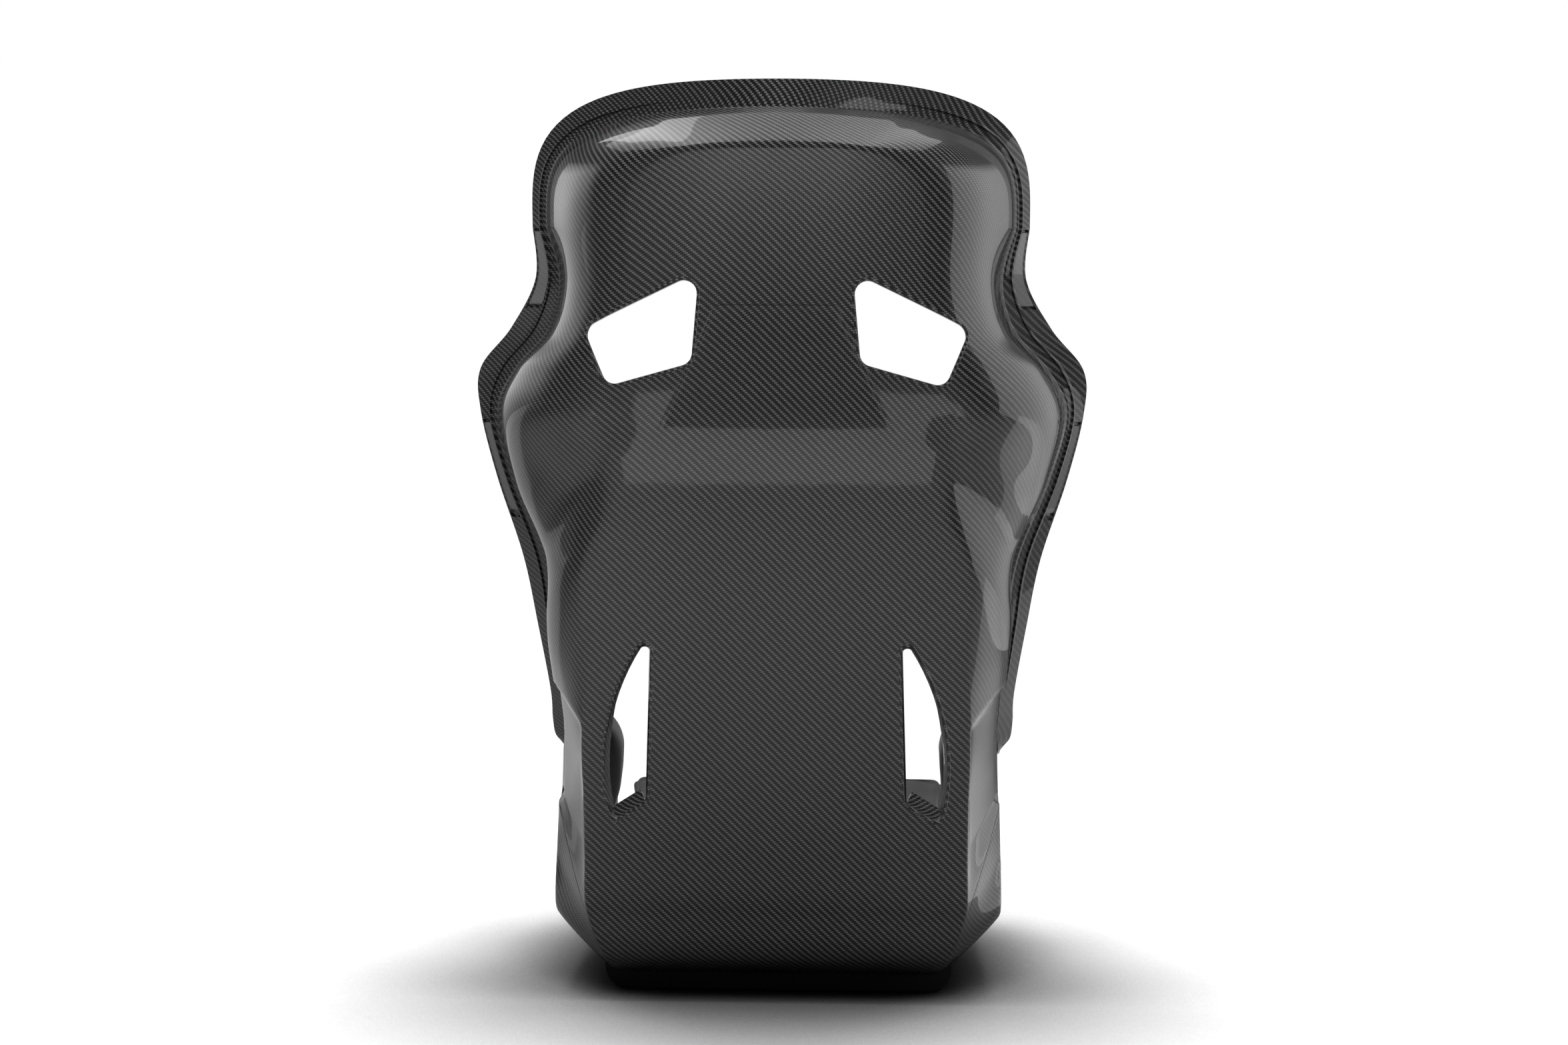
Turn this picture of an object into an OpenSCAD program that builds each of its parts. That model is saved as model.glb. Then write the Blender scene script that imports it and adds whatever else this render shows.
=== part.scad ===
// Fixed-back racing seat: a one-piece woven-carbon bucket shell on a moulded foot, with side mounting
// inserts and a set of peel-off cushions. Millimetres, +Z up. The origin is on the floor under the
// middle of the seat; the occupant faces -Y and the seat is symmetric about X = 0.

/* [Overall] */
// Height from the floor to the top of the head wing
seat_h = 900; // [840:5:960]
// Width across the shoulder wings, lip to lip
shoulder_w = 616; // [560:2:680]
// Width across the head wings, lip to lip
head_w = 494; // [450:2:540]
// Width across the neck, between head and shoulders
neck_w = 484; // [440:2:520]
// Width across the waist, lip to lip
waist_w = 524; // [480:2:560]
// Width across the lower tips of the wings
hip_w = 490; // [470:2:520]
// Width across the side walls of the base
base_w = 458; // [430:2:480]
// Distance from the middle of the seat forward to the front lip of the pan
lip_y = 322; // [310:2:350]
// Lean of the back from upright, in degrees
recline = 12; // [8:0.5:16]

/* [Shell] */
// Thickness of the laminate
shell_t = 4; // [3:0.25:5]
// Height of the flat underside of the pan above the floor
pan_z = 20; // [14:1:30]
// Height of the front lip of the pan
lip_z = 96; // [80:2:100]
// Height of the wing tips at the hips
tip_z = 234; // [220:2:250]
// Height of the widest point of the shoulders
shoulder_z = 600; // [570:2:630]
// Height of the middle of the head panel
head_z = 756; // [740:2:780]
// How far the head wings stand forward of the head panel
wing_d = 134; // [100:2:160]
// Width of the lip around the shoulders, ribs and waist
lip_w = 22; // [16:1:30]
// Backward bulge of the back panel across its width
bow = 0.5; // [0:0.5:10]

/* [Belt openings] */
// Distance from the centre line to the inner side of a shoulder belt opening
shoulder_slot_x = 72; // [60:1:84]
// Width of a shoulder belt opening
shoulder_slot_w = 102; // [80:1:110]
// Height of the lower inner corner of a shoulder belt opening
shoulder_slot_z = 633; // [625:1:640]
// Distance from the centre line to the inner edge of a lap belt opening
lap_slot_x = 124; // [112:1:132]
// Height of the lower end of a lap belt opening
lap_slot_z = 190; // [175:1:205]
// Length of a lap belt opening
lap_slot_l = 172; // [140:1:185]
// Width of the crotch strap opening
crotch_slot_w = 80; // [60:1:100]
// Length of the crotch strap opening, front to back
crotch_slot_l = 26; // [20:1:32]

/* [Side mounts] */
// Distance between the two threaded bushes of one side
mount_pitch = 290; // [240:1:294]
// Height of the bushes above the floor
mount_z = 126; // [120:1:134]
// Distance the rear bush of a side lies behind the middle of the seat
mount_rear_y = 12; // [4:1:16]
// Thread bore of a bush, M8
thread_d = 8; // [6:1:10]
// Outer diameter of a bush
bush_d = 20; // [16:1:24]
// How far the bush face stands out of the base wall
bush_proud = 1.5; // [0.5:0.5:4]
// Thickness of the reinforcement plate inside the wall
plate_t = 5; // [3:0.5:8]

/* [Foot] */
// Width of the foot across its side walls
foot_w = 358; // [340:2:364]
// Length of the foot, front to back
foot_l = 190; // [150:2:210]
// Distance the rear edge of the foot lies behind the middle of the seat
foot_rear_y = 38; // [20:1:42]
// Distance between the foot screws across the seat
foot_pitch_x = 220; // [160:2:240]
// Distance between the foot screws along the seat
foot_pitch_y = 90; // [70:2:100]
// Diameter of the foot screws, M8
foot_screw_d = 8; // [6:1:10]

/* [Cushions] */
// Gap between a cushion and the shell, taken up by its hook strips
hook_gap = 3; // [2.5:0.25:5]
// Thickness of the seat cushion
seat_pad_t = 52; // [35:1:60]
// Height of the knee cushion over the front of the pan
knee_pad_t = 97; // [60:1:110]
// Thickness of the lumbar cushion
lumbar_pad_t = 36; // [25:1:45]
// Thickness of the back cushion
back_pad_t = 26; // [18:1:34]
// Thickness of the head cushion
head_pad_t = 28; // [18:1:36]
// Thickness of the hip bolsters
hip_pad_t = 54.5; // [25:0.5:60]
// Thickness of the thigh, rib, shoulder and head bolsters
side_pad_t = 24; // [16:1:30]

/* [Hidden] */

CARBON = [0.13, 0.13, 0.14];
FOOT_BLACK = [0.03, 0.03, 0.03];
SUEDE = [0.10, 0.10, 0.11];
MESH_CLOTH = [0.16, 0.16, 0.17];
ALLOY = [0.72, 0.73, 0.75];
ZINC = [0.62, 0.62, 0.60];
PLASTIC = [0.06, 0.06, 0.07];
HOOK = [0.05, 0.05, 0.05];

// ---- small maths ---------------------------------------------------------------------------------
function mix(a, b, f) = a + (b - a) * f;
function clamp01(v) = min(1, max(0, v));
function unit(v) = v / norm(v);

// Smooth curve through a list of rows, at the real-valued position t
function along(rows, t) =
    let (last = len(rows) - 1, i = min(floor(t), last - 1), f = t - i,
         p0 = rows[max(i - 1, 0)], p1 = rows[i], p2 = rows[i + 1], p3 = rows[min(i + 2, last)])
    (2 * p1 + (p2 - p0) * f + (2 * p0 - 5 * p1 + 4 * p2 - p3) * f * f
        + (3 * p1 - p0 - 3 * p2 + p3) * f * f * f) / 2;

// Point on a cubic curve with four control points
function bezier(a, b, c, d, f) =
    pow(1 - f, 3) * a + 3 * pow(1 - f, 2) * f * b + 3 * (1 - f) * f * f * c + f * f * f * d;

// Radius of a squarish oval with half-axes a and b and exponent p, in the direction ang
function oval(a, b, p, ang) = pow(pow(cos(ang) / a, p) + pow(sin(ang) / b, p), -1 / p);

// ---- the form of the shell -----------------------------------------------------------------------
// A row describes one cross-section: the middle of the back or pan [y, z], the rim [y, z], then the
// half-width of the flat panel, width and depth of its rounded corner, fullness of the corner, the
// half-width at the rim, and the width and setback of the outward lip.
base_x = base_w / 2;
back_y = 128;
back_z = 95;
function back_at(z) = back_y + (z - back_z) * tan(recline);
function row(yb, zb, yf, zf, panel, cw, cd, full, rim, lip, set) =
    [yb, zb, yf, zf, panel, cw, cd, full, rim, lip, set];

ROWS = [
    row(-lip_y, lip_z, -lip_y + 12, lip_z + 88, base_x - 66, 64, 34, 0.60, base_x - 2, 5, 2),
    row(-lip_y + 42, mix(pan_z, lip_z, 0.6), -lip_y + 46, tip_z - 36, base_x - 70, 70, 40, 0.58,
        base_x, 5, 2),
    row(-205, mix(pan_z, lip_z, 0.2), -205, tip_z - 14, base_x - 76, 76, 52, 0.48, base_x, 5, 2),
    row(-118, pan_z, -142, tip_z - 6, base_x - 76, 76, 66, 0.16, base_x, 5, 2),
    row(-30, pan_z, -96, tip_z - 2, base_x - 72, 72, 70, 0.10, base_x, 5, 2),
    row(56, pan_z, -66, tip_z, base_x - 70, 70, 70, 0.10, base_x, 5, 2),
    row(110, pan_z + 24, -50, tip_z + 4, base_x - 60, 59, 66, 0.10, base_x - 1, 6, 3),
    row(back_at(95), 95, -44, tip_z + 9, base_x - 42, 40, 84, 0.08, base_x - 2, 11, 5),
    row(back_at(148), 148, -38, tip_z + 17, base_x - 40, 37, 92, 0.08, base_x - 3, hip_w / 2 - base_x + 2, 8),
    row(back_at(205), 205, -30, tip_z + 36, base_x - 40, 36, 96, 0.08, base_x - 4, hip_w / 2 - base_x + 5, 9),
    row(back_at(262), 262, -10, tip_z + 69, base_x - 38, 34, 92, 0.10, hip_w / 2 - 18, lip_w - 3, 9),
    row(back_at(345), 345, 18, 374, waist_w / 2 - 82, 54, 98, 0.42, waist_w / 2 - lip_w - 6, lip_w, 9),
    row(back_at(430), 430, 42, 446, mix(waist_w, shoulder_w, 0.2) / 2 - 90, 56, 92, 0.48,
        mix(waist_w, shoulder_w, 0.2) / 2 - lip_w - 7, lip_w + 4, 9),
    row(back_at(520), shoulder_z - 80, 60, shoulder_z - 72, mix(waist_w, shoulder_w, 0.72) / 2 - 142, 112, 104,
        0.46, mix(waist_w, shoulder_w, 0.72) / 2 - lip_w, lip_w - 2, 9),
    row(back_at(585), shoulder_z - 15, 76, shoulder_z - 5, shoulder_w / 2 - 126, 96, 108, 0.55,
        shoulder_w / 2 - lip_w + 2, lip_w - 2, 9),
    row(back_at(625), shoulder_z + 25, 90, shoulder_z + 38, shoulder_w / 2 - 140, 92, 100, 0.55,
        shoulder_w / 2 - lip_w - 18, lip_w + 16, 9),
    row(back_at(662), shoulder_z + 62, 110, shoulder_z + 77, neck_w / 2 - 88, 70, 92, 0.55,
        neck_w / 2 - 10, lip_w + 18, 9),
    row(back_at(704), mix(shoulder_z, head_z, 0.667), 134, mix(shoulder_z, head_z, 0.667) + 20,
        neck_w / 2 - 96, 64, 86, 0.55, neck_w / 2 - 24, lip_w + 4, 8),
    row(back_at(head_z), head_z, back_at(head_z) - wing_d + 2, head_z + 19, head_w / 2 - 100, 70, 92, 0.55,
        head_w / 2 - 16, 16, 8)
];
HEAD = len(ROWS) - 1;

// Over the head the section turns about the middle of the head panel, from sideways to upright.
head_mid = [0, ROWS[HEAD][0], ROWS[HEAD][1]];
wing_dir = unit([0, ROWS[HEAD][2] - ROWS[HEAD][0], ROWS[HEAD][3] - ROWS[HEAD][1]]);
up_dir = [0, sin(recline), cos(recline)];
top_d = 46;
top_set = 6;
top_reach = (seat_h - head_z - (top_d + top_set) * wing_dir[2]) / up_dir[2];
top_lip = 27;
top_corner = 34;
top_cd = 36;
top_full = 0.06;
head_oval = 3.3;

// Section at t: [middle point, sideways direction, depth direction, depth, panel, corner width,
// corner depth, fullness, rim, lip, setback, bow]
function section(t) =
    t <= HEAD ?
        let (r = along(ROWS, t), b = [0, r[0], max(r[1], pan_z)], f = [0, r[2], r[3]])
        [b, [1, 0, 0], unit(f - b), norm(f - b), r[4], r[5], r[6], r[7], r[8], r[9], r[10],
         bow * clamp01((t - 6) / 2)]
    :
        let (ang = (t - HEAD) * 90, r = ROWS[HEAD], s = pow(sin(ang), 2),
             out = oval(r[8] + r[9], top_reach, head_oval, ang),
             rim = oval(r[8], top_reach - top_lip, head_oval, ang),
             soft = oval(r[4] + r[5], top_reach - top_lip - 5, head_oval, ang),
             panel = oval(r[4], top_reach - top_lip - top_corner, head_oval, ang))
        [head_mid, cos(ang) * [1, 0, 0] + sin(ang) * up_dir, wing_dir,
         mix(wing_d, top_d, s), panel, soft - panel, mix(r[6], top_cd, s),
         mix(r[7], top_full, clamp01((ang - 28) / 14)),
         rim, out - rim, mix(r[10], top_set, s), bow];

// Half profile of a section at q: 0-1 panel, 1-2 corner, 2-3 side wall, 3-4 lip. [sideways, depth]
function half_profile(s, q) =
    let (dep = s[3], panel = s[4], cw = s[5], cd = s[6], full = s[7], rim = s[8], lip = s[9],
         set = s[10], bulge = s[11], fillet = min(8, lip * 0.5),
         flare = (rim - panel - cw) / (dep - fillet - cd))
    q <= 1 ? [panel * q, bulge * q * q] :
    q <= 2 ? bezier([panel, bulge],
                    [panel + full * cw, bulge + 2 * bulge * full * cw / panel],
                    [panel + cw - flare * full * (cd - bulge), cd - full * (cd - bulge)],
                    [panel + cw, cd], q - 1) :
    q <= 2.7 ? mix([panel + cw, cd], [rim, dep - fillet], (q - 2) / 0.7) :
    q <= 3 ? [rim + fillet * (1 - cos((q - 2.7) * 300)), dep - fillet + fillet * sin((q - 2.7) * 300)] :
    mix([rim + fillet, dep], [rim + lip, dep + set], q - 3);

// Point on the shell at section t and profile place q, a distance h inside its outer face.
// Negative q is the right-hand side, at negative X.
function on_shell(t, q, h = 0) =
    let (s = section(t), a = abs(q), e = 0.02, side = q < 0 ? -1 : 1,
         p = half_profile(s, a),
         tang = unit(half_profile(s, min(a + e, 4)) - half_profile(s, max(a - e, 0))),
         n = a == 0 ? [0, 1] : [-tang[1], tang[0]],
         m = p + h * n,
         v = s[0] + m[0] * s[1] + m[1] * s[2])
    [v[0] * side, v[1], max(v[2], pan_z + h)];

// ---- the shell -----------------------------------------------------------------------------------
// Sections: two to a row, then the fan over the head
T_STEPS = [for (t = [0 : 0.5 : HEAD]) t, for (i = [1 : 9]) HEAD + i / 9];
Q_STEPS = [0, 0.5, 1, 1.25, 1.5, 1.75, 2, 2.35, 2.7, 2.85, 3, 4];
COLS = len(Q_STEPS) - 1;
LAST_ROW = len(T_STEPS) - 1;
HEAD_ROW = len([for (t = T_STEPS) if (t <= HEAD) t]) - 1;
WIDE = 2 * COLS + 1;
FAN_START = (HEAD_ROW + 1) * WIDE;
TOP_START = FAN_START + (LAST_ROW - HEAD_ROW - 1) * 2 * COLS;
LAYER = TOP_START + COLS;

// Points of one face of the shell, h inside its outer face: full rows up to the head, then the fan,
// whose sections share the head's middle point and meet in one row over the top.
function layer_points(h) = [
    for (r = [0 : HEAD_ROW], c = [-COLS : COLS]) on_shell(T_STEPS[r], sign(c) * Q_STEPS[abs(c)], h),
    for (r = [HEAD_ROW + 1 : LAST_ROW - 1], c = [-COLS : COLS])
        if (c != 0) on_shell(T_STEPS[r], sign(c) * Q_STEPS[abs(c)], h),
    for (c = [1 : COLS]) on_shell(T_STEPS[LAST_ROW], Q_STEPS[c], h)
];

// Index of the point in row r and column c
function at(r, c) =
    r <= HEAD_ROW ? r * WIDE + c + COLS :
    c == 0 ? HEAD_ROW * WIDE + COLS :
    r == LAST_ROW ? TOP_START + abs(c) - 1 :
    FAN_START + (r - HEAD_ROW - 1) * 2 * COLS + (c < 0 ? c + COLS : c + COLS - 1);

// Triangles of a quad, without those that have lost an edge
function two_triangles(a, b, c, d) = [
    if (a != b && b != c && a != c) [a, b, c],
    if (a != c && c != d && a != d) [a, c, d]
];
function quads(r, c) = two_triangles(at(r, c), at(r + 1, c), at(r + 1, c + 1), at(r, c + 1));
function band(a, b) = two_triangles(a, b, b + LAYER, a + LAYER);
function turned(faces, shift) = [for (f = faces) [f[0] + shift, f[2] + shift, f[1] + shift]];

module shell_form() {
    outer = [for (r = [0 : LAST_ROW - 1], c = [-COLS : COLS - 1]) each quads(r, c)];
    edge = [
        for (c = [-COLS : COLS - 1]) each band(at(0, c), at(0, c + 1)),
        for (r = [0 : LAST_ROW - 1]) each band(at(r, COLS), at(r + 1, COLS)),
        for (r = [0 : LAST_ROW - 1]) each band(at(r + 1, -COLS), at(r, -COLS))
    ];
    faces = concat(outer, turned(outer, LAYER), edge);
    polyhedron(concat(layer_points(0), layer_points(shell_t)), turned(faces, 0), convexity = 12);
}

module shell() color(CARBON) difference() {
    shell_form();
    for (side = [-1, 1]) {
        shoulder_opening(side);
        lap_opening(side);
        for (y = bush_ys)
            along_x(side, base_x - 40, y, mount_z)
                cylinder(d = bush_d + 2 * bush_clear, h = 60, $fn = 48);
    }
    crotch_opening(crotch_slot_w, crotch_slot_l, 40);
    foot_screw_places()
        cylinder(d = foot_screw_d + 2 * screw_clear, h = pan_z + 2 * shell_t, $fn = 36);
}

// ---- belt openings -------------------------------------------------------------------------------
slot_round = 12;
module shoulder_opening(side) {
    corners = [[0, 0], [shoulder_slot_w * 0.78, -22], [shoulder_slot_w, 32], [-8, 84]];
    translate([0, back_at(shoulder_slot_z) + 60, shoulder_slot_z])
        rotate([90, 0, 0])
            linear_extrude(120)
                scale([side, 1])
                    translate([shoulder_slot_x + 8, 0])
                        offset(r = slot_round, $fn = 24)
                            offset(delta = -slot_round)
                                polygon(corners);
}

// The inner side is straight, the outer side a long arc, and the foot of the opening slopes outward
lap_arc_r = 290;
lap_arc_w = 44;
lap_foot = [18, -33];
lap_round = 7;
module lap_opening(side) {
    translate([0, back_at(lap_slot_z) + 70, lap_slot_z])
        rotate([90, 0, 0])
            linear_extrude(140)
                scale([side, 1])
                    translate([lap_slot_x, 0])
                        offset(r = lap_round, $fn = 24)
                            offset(delta = -lap_round)
                                intersection() {
                                    polygon([[0, lap_foot[0]], [2 * lap_arc_w, lap_foot[1]],
                                             [2 * lap_arc_w, lap_slot_l], [0, lap_slot_l]]);
                                    translate([lap_arc_w - lap_arc_r, 56])
                                        circle(r = lap_arc_r, $fn = 180);
                                }
}

// The crotch strap passes through the pan between the knee cushion and the seat cushion
crotch_t = 2.1;
crotch_y = on_shell(crotch_t, 0)[1];
crotch_z = on_shell(crotch_t, 0)[2];
crotch_slope = atan2(on_shell(crotch_t - 0.1, 0)[2] - crotch_z, crotch_y - on_shell(crotch_t - 0.1, 0)[1]);
module on_crotch() translate([0, crotch_y, crotch_z]) rotate([-crotch_slope, 0, 0]) children();

// A straight-sided slot with round ends, w wide, l long and h high, about the middle of the shell wall
module crotch_opening(w, l, h) on_crotch() translate([0, 0, shell_t / 2 - h / 2]) round_slot(w, l, h);
module round_slot(w, l, h) linear_extrude(h) round_slot_outline(w, l);
module round_slot_outline(w, l) {
    square([w - l, l], center = true);
    for (side = [-1, 1])
        translate([side * (w - l) / 2, 0])
            circle(d = l, $fn = 36);
}

trim_wall = 2;
trim_clear = 0.3;
trim_flange = 5;
trim_flange_t = 1.6;
trim_seat = 2.4;
module crotch_trim() color(PLASTIC) on_crotch() difference() {
    union() {
        translate([0, 0, -2])
            round_slot(crotch_slot_w - 2 * trim_clear, crotch_slot_l - 2 * trim_clear,
                       shell_t + trim_seat + 3);
        translate([0, 0, shell_t + trim_seat])
            round_slot(crotch_slot_w + 2 * trim_flange, crotch_slot_l + 2 * trim_flange, trim_flange_t);
    }
    translate([0, 0, -10])
        round_slot(crotch_slot_w - 2 * trim_wall, crotch_slot_l - 2 * trim_wall, 30);
}

// ---- side mounts ---------------------------------------------------------------------------------
bush_ys = [mount_rear_y, mount_rear_y - mount_pitch];
bush_clear = 0.3;
bond_gap = 2;
bush_flange_d = bush_d + 8;
bush_flange_t = 3;
plate_h = 2 * bush_d;
tapping_d = thread_d * 0.85;
plate_outer_x = base_x - shell_t - bond_gap;

// Turns what stands along +Z to point sideways out of the seat, starting at x = start
module along_x(side, start, y, z) translate([side * start, y, z]) rotate([0, side * 90, 0]) children();

module mount_plate(side) color(ALLOY)
    along_x(side, plate_outer_x - plate_t, 0, mount_z)
        difference() {
            union() {
                translate([-plate_h / 2, min(bush_ys), 0])
                    cube([plate_h, mount_pitch, plate_t]);
                for (y = bush_ys)
                    translate([0, y, 0])
                        cylinder(d = plate_h, h = plate_t, $fn = 60);
            }
            for (y = bush_ys)
                translate([0, y, -1])
                    cylinder(d = bush_d + 2 * bush_clear, h = plate_t + 2, $fn = 48);
        }

module bushes(side) color(ZINC)
    for (y = bush_ys)
        along_x(side, plate_outer_x - plate_t - bush_flange_t, y, mount_z)
            difference() {
                union() {
                    cylinder(d = bush_flange_d, h = bush_flange_t, $fn = 48);
                    cylinder(d = bush_d, h = bush_length, $fn = 48);
                }
                translate([0, 0, -1])
                    cylinder(d = tapping_d, h = bush_length + 2, $fn = 36);
                translate([0, 0, bush_length - 1])
                    cylinder(d1 = tapping_d, d2 = thread_d + 1, h = 1.01, $fn = 36);
            }
bush_length = bush_flange_t + plate_t + bond_gap + shell_t + bush_proud;

// ---- foot ----------------------------------------------------------------------------------------
foot_round = 22;
screw_clear = 0.3;
screw_head_d = foot_screw_d * 1.625;
screw_head_h = foot_screw_d;
screw_head_up = 2;
nut_plate_t = 5;
nut_margin = 13;
nut_plate_z = pan_z + shell_t + 0.4;
foot_mid_y = foot_rear_y - foot_l / 2;
module foot_screw_places()
    for (x = [-1, 1], y = [-1, 1])
        translate([x * foot_pitch_x / 2, foot_mid_y + y * foot_pitch_y / 2, 0])
            children();

// The foot fills the space under the flat of the pan and rises a little with its chamfered sides
foot_flat_x = foot_w / 2 - 16;
foot_rise = 12;
module foot() color(FOOT_BLACK) difference() {
    translate([0, foot_rear_y, 0])
        rotate([90, 0, 0])
            linear_extrude(foot_l)
                difference() {
                    union() {
                        translate([-foot_w / 2 + foot_round, 0])
                            square([foot_w - 2 * foot_round, pan_z]);
                        translate([-foot_w / 2, foot_round])
                            square([foot_w, pan_z]);
                        for (side = [-1, 1])
                            translate([side * (foot_w / 2 - foot_round), foot_round])
                                circle(r = foot_round, $fn = 60);
                    }
                    polygon([[-foot_flat_x, pan_z], [foot_flat_x, pan_z],
                             [foot_w / 2 + 1, pan_z + foot_rise], [foot_w / 2 + 1, 3 * pan_z],
                             [-foot_w / 2 - 1, 3 * pan_z], [-foot_w / 2 - 1, pan_z + foot_rise]]);
                }
    foot_screw_places() {
        translate([0, 0, -1])
            cylinder(d = foot_screw_d + 2 * screw_clear, h = 2 * pan_z, $fn = 36);
        translate([0, 0, -1])
            cylinder(d = screw_head_d + 2, h = 1 + screw_head_up + screw_head_h, $fn = 48);
    }
}

module foot_screws() color(ZINC) foot_screw_places() difference() {
    union() {
        translate([0, 0, screw_head_up])
            cylinder(d = screw_head_d, h = screw_head_h, $fn = 48);
        translate([0, 0, screw_head_up])
            cylinder(d = foot_screw_d, h = nut_plate_z + nut_plate_t - screw_head_up, $fn = 36);
    }
    translate([0, 0, screw_head_up - 1])
        cylinder(r = foot_screw_d * 0.433, h = 1 + screw_head_h * 0.5, $fn = 6);
}

module nut_plate() color(ALLOY) difference() {
    translate([-foot_pitch_x / 2 - nut_margin, foot_mid_y - foot_pitch_y / 2 - nut_margin, nut_plate_z])
        cube([foot_pitch_x + 2 * nut_margin, foot_pitch_y + 2 * nut_margin, nut_plate_t]);
    foot_screw_places()
        translate([0, 0, pan_z])
            cylinder(d = foot_screw_d + 0.1, h = 30, $fn = 36);
    translate([0, foot_mid_y, pan_z])
        cylinder(d = foot_pitch_y * 0.7, h = 30, $fn = 60);
}

// ---- cushions ------------------------------------------------------------------------------------
// A cushion is a closed pillow laid over a patch of a surface. place(u, v, h) gives the point a
// height h above the cushion's back, u and v running 0 to 1 across it. Its face is crowned, its edges
// are rounded, its sides draw in between the corners, and every fourth line is a sewn channel. block is
// how far up its sides stand before they round over.
function spread(i, n) = (1 - cos(180 * i / n)) / 2;
function drawn(u, v, pull) = 0.5 + (u - 0.5) * (1 - pull * sin(180 * v));
function domed(u) = max(0, 1 - pow(abs(2 * u - 1), 3.2));
function crown(u, v) = pow(domed(u) * domed(v), 0.42);
function pillow_h(i, j, nu, nv, thick, edge, channel) =
    let (u = spread(i, nu), v = spread(j, nv), c = crown(u, v),
         sewn = channel > 0 && i % 4 == 0 && i > 0 && i < nu ? channel * sqrt(c) : 0)
    edge + (thick - edge) * c - sewn;

module pillow(place, thick, nu = 12, nv = 8, channel = 0, pull = 0.05, block = 0.22) {
    edge = thick * block;
    spot = function (i, j, h)
        let (u = spread(i, nu), v = spread(j, nv))
        place(drawn(u, v, pull), drawn(v, u, pull), h);
    closed_patch([for (i = [0 : nu], j = [0 : nv]) spot(i, j, pillow_h(i, j, nu, nv, thick, edge, channel))],
                 [for (i = [0 : nu], j = [0 : nv]) spot(i, j, 0)], nu, nv);
}

// A closed solid between two grids of nu by nv cells, a face and the back under it
module closed_patch(face, back, nu, nv) {
    id = function (i, j) i * (nv + 1) + j;
    count = (nu + 1) * (nv + 1);
    top = [for (i = [0 : nu - 1], j = [0 : nv - 1]) each
               two_triangles(id(i, j), id(i + 1, j), id(i + 1, j + 1), id(i, j + 1))];
    ring = concat([for (j = [0 : nv - 1]) id(0, j)], [for (i = [0 : nu - 1]) id(i, nv)],
                  [for (j = [nv : -1 : 1]) id(nu, j)], [for (i = [nu : -1 : 1]) id(i, 0)]);
    n = len(ring);
    sides = [for (k = [0 : n - 1]) each
                 two_triangles(ring[k], ring[(k + 1) % n], ring[(k + 1) % n] + count, ring[k] + count)];
    faces = concat(top, turned(top, count), sides);
    a = back[0];
    handed = cross(back[id(1, 0)] - a, back[id(0, 1)] - a) * (face[0] - a);
    polyhedron(concat(face, back), handed > 0 ? turned(faces, 0) : faces);
}

// A patch of the shell's inside from section t0 to t1 and place q0 to q1, gap off the wall
function patch(t0, t1, q0, q1, gap) =
    function (u, v, h) on_shell(mix(t0, t1, u), mix(q0, q1, v), shell_t + gap + h);

// The same patch, filled straight up instead of away from the wall
function level_patch(t0, t1, q0, q1, gap) =
    function (u, v, h) on_shell(mix(t0, t1, u), mix(q0, q1, v), shell_t + gap) + [0, 0, h];

// A flat patch on the head panel: w wide, reaching from low to high along the panel
function head_patch(w, low, high, gap) =
    function (u, v, h) head_mid + (v - 0.5) * w * [1, 0, 0] + mix(low, high, u) * up_dir
        + (shell_t + gap + bow * 0.5 + h) * wing_dir;

seat_gap = nut_plate_t + 3;
over_plate_gap = bond_gap + plate_t + bush_flange_t + 3;
SIDE_PADS = [
    // name, t0, t1, q0, q1, gap, thickness
    ["thigh", 1.75, 4.7, 2.05, 2.7, over_plate_gap, side_pad_t],
    ["hip", 5.6, 9.8, 2.3, 2.72, hook_gap, hip_pad_t],
    ["rib", 10.2, 13.4, 1.8, 2.72, hook_gap, side_pad_t],
    ["shoulder", 13.8, 15.7, 1.75, 2.72, hook_gap, side_pad_t],
    ["head", HEAD - 0.6, HEAD + 0.36, 1.75, 2.72, hook_gap, side_pad_t]
];
module bolster(index, side) {
    p = SIDE_PADS[index];
    color(SUEDE)
        pillow(patch(p[1], p[2], side * p[3], side * p[4], p[5]), p[6], nu = 12, nv = 6);
}

SEAT_T = [2.55, 5.55];
SEAT_Q = 0.98;
KNEE_T = [0.12, 1.6];
KNEE_Q = 1.24;
LUMBAR_T = [7.3, 10.4];
LUMBAR_Q = 0.58;
BACK_T = [11.3, 14.35];
BACK_Q = 0.76;
module seat_cushion() color(MESH_CLOTH)
    pillow(patch(SEAT_T[0], SEAT_T[1], -SEAT_Q, SEAT_Q, seat_gap), seat_pad_t, nu = 16, nv = 10, channel = 7);
module knee_cushion() color(SUEDE)
    pillow(level_patch(KNEE_T[0], KNEE_T[1], -KNEE_Q, KNEE_Q, hook_gap), knee_pad_t,
           nu = 10, nv = 10, block = 0.7);
module lumbar_cushion() color(MESH_CLOTH)
    pillow(patch(LUMBAR_T[0], LUMBAR_T[1], -LUMBAR_Q, LUMBAR_Q, hook_gap), lumbar_pad_t,
           nu = 16, nv = 10, channel = 6);
module back_cushion() color(MESH_CLOTH)
    pillow(patch(BACK_T[0], BACK_T[1], -BACK_Q, BACK_Q, hook_gap), back_pad_t, nu = 16, nv = 10, channel = 5);
module head_cushion() color(SUEDE)
    pillow(head_patch(196, -34, 66, hook_gap), head_pad_t, nu = 10, nv = 10);

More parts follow.
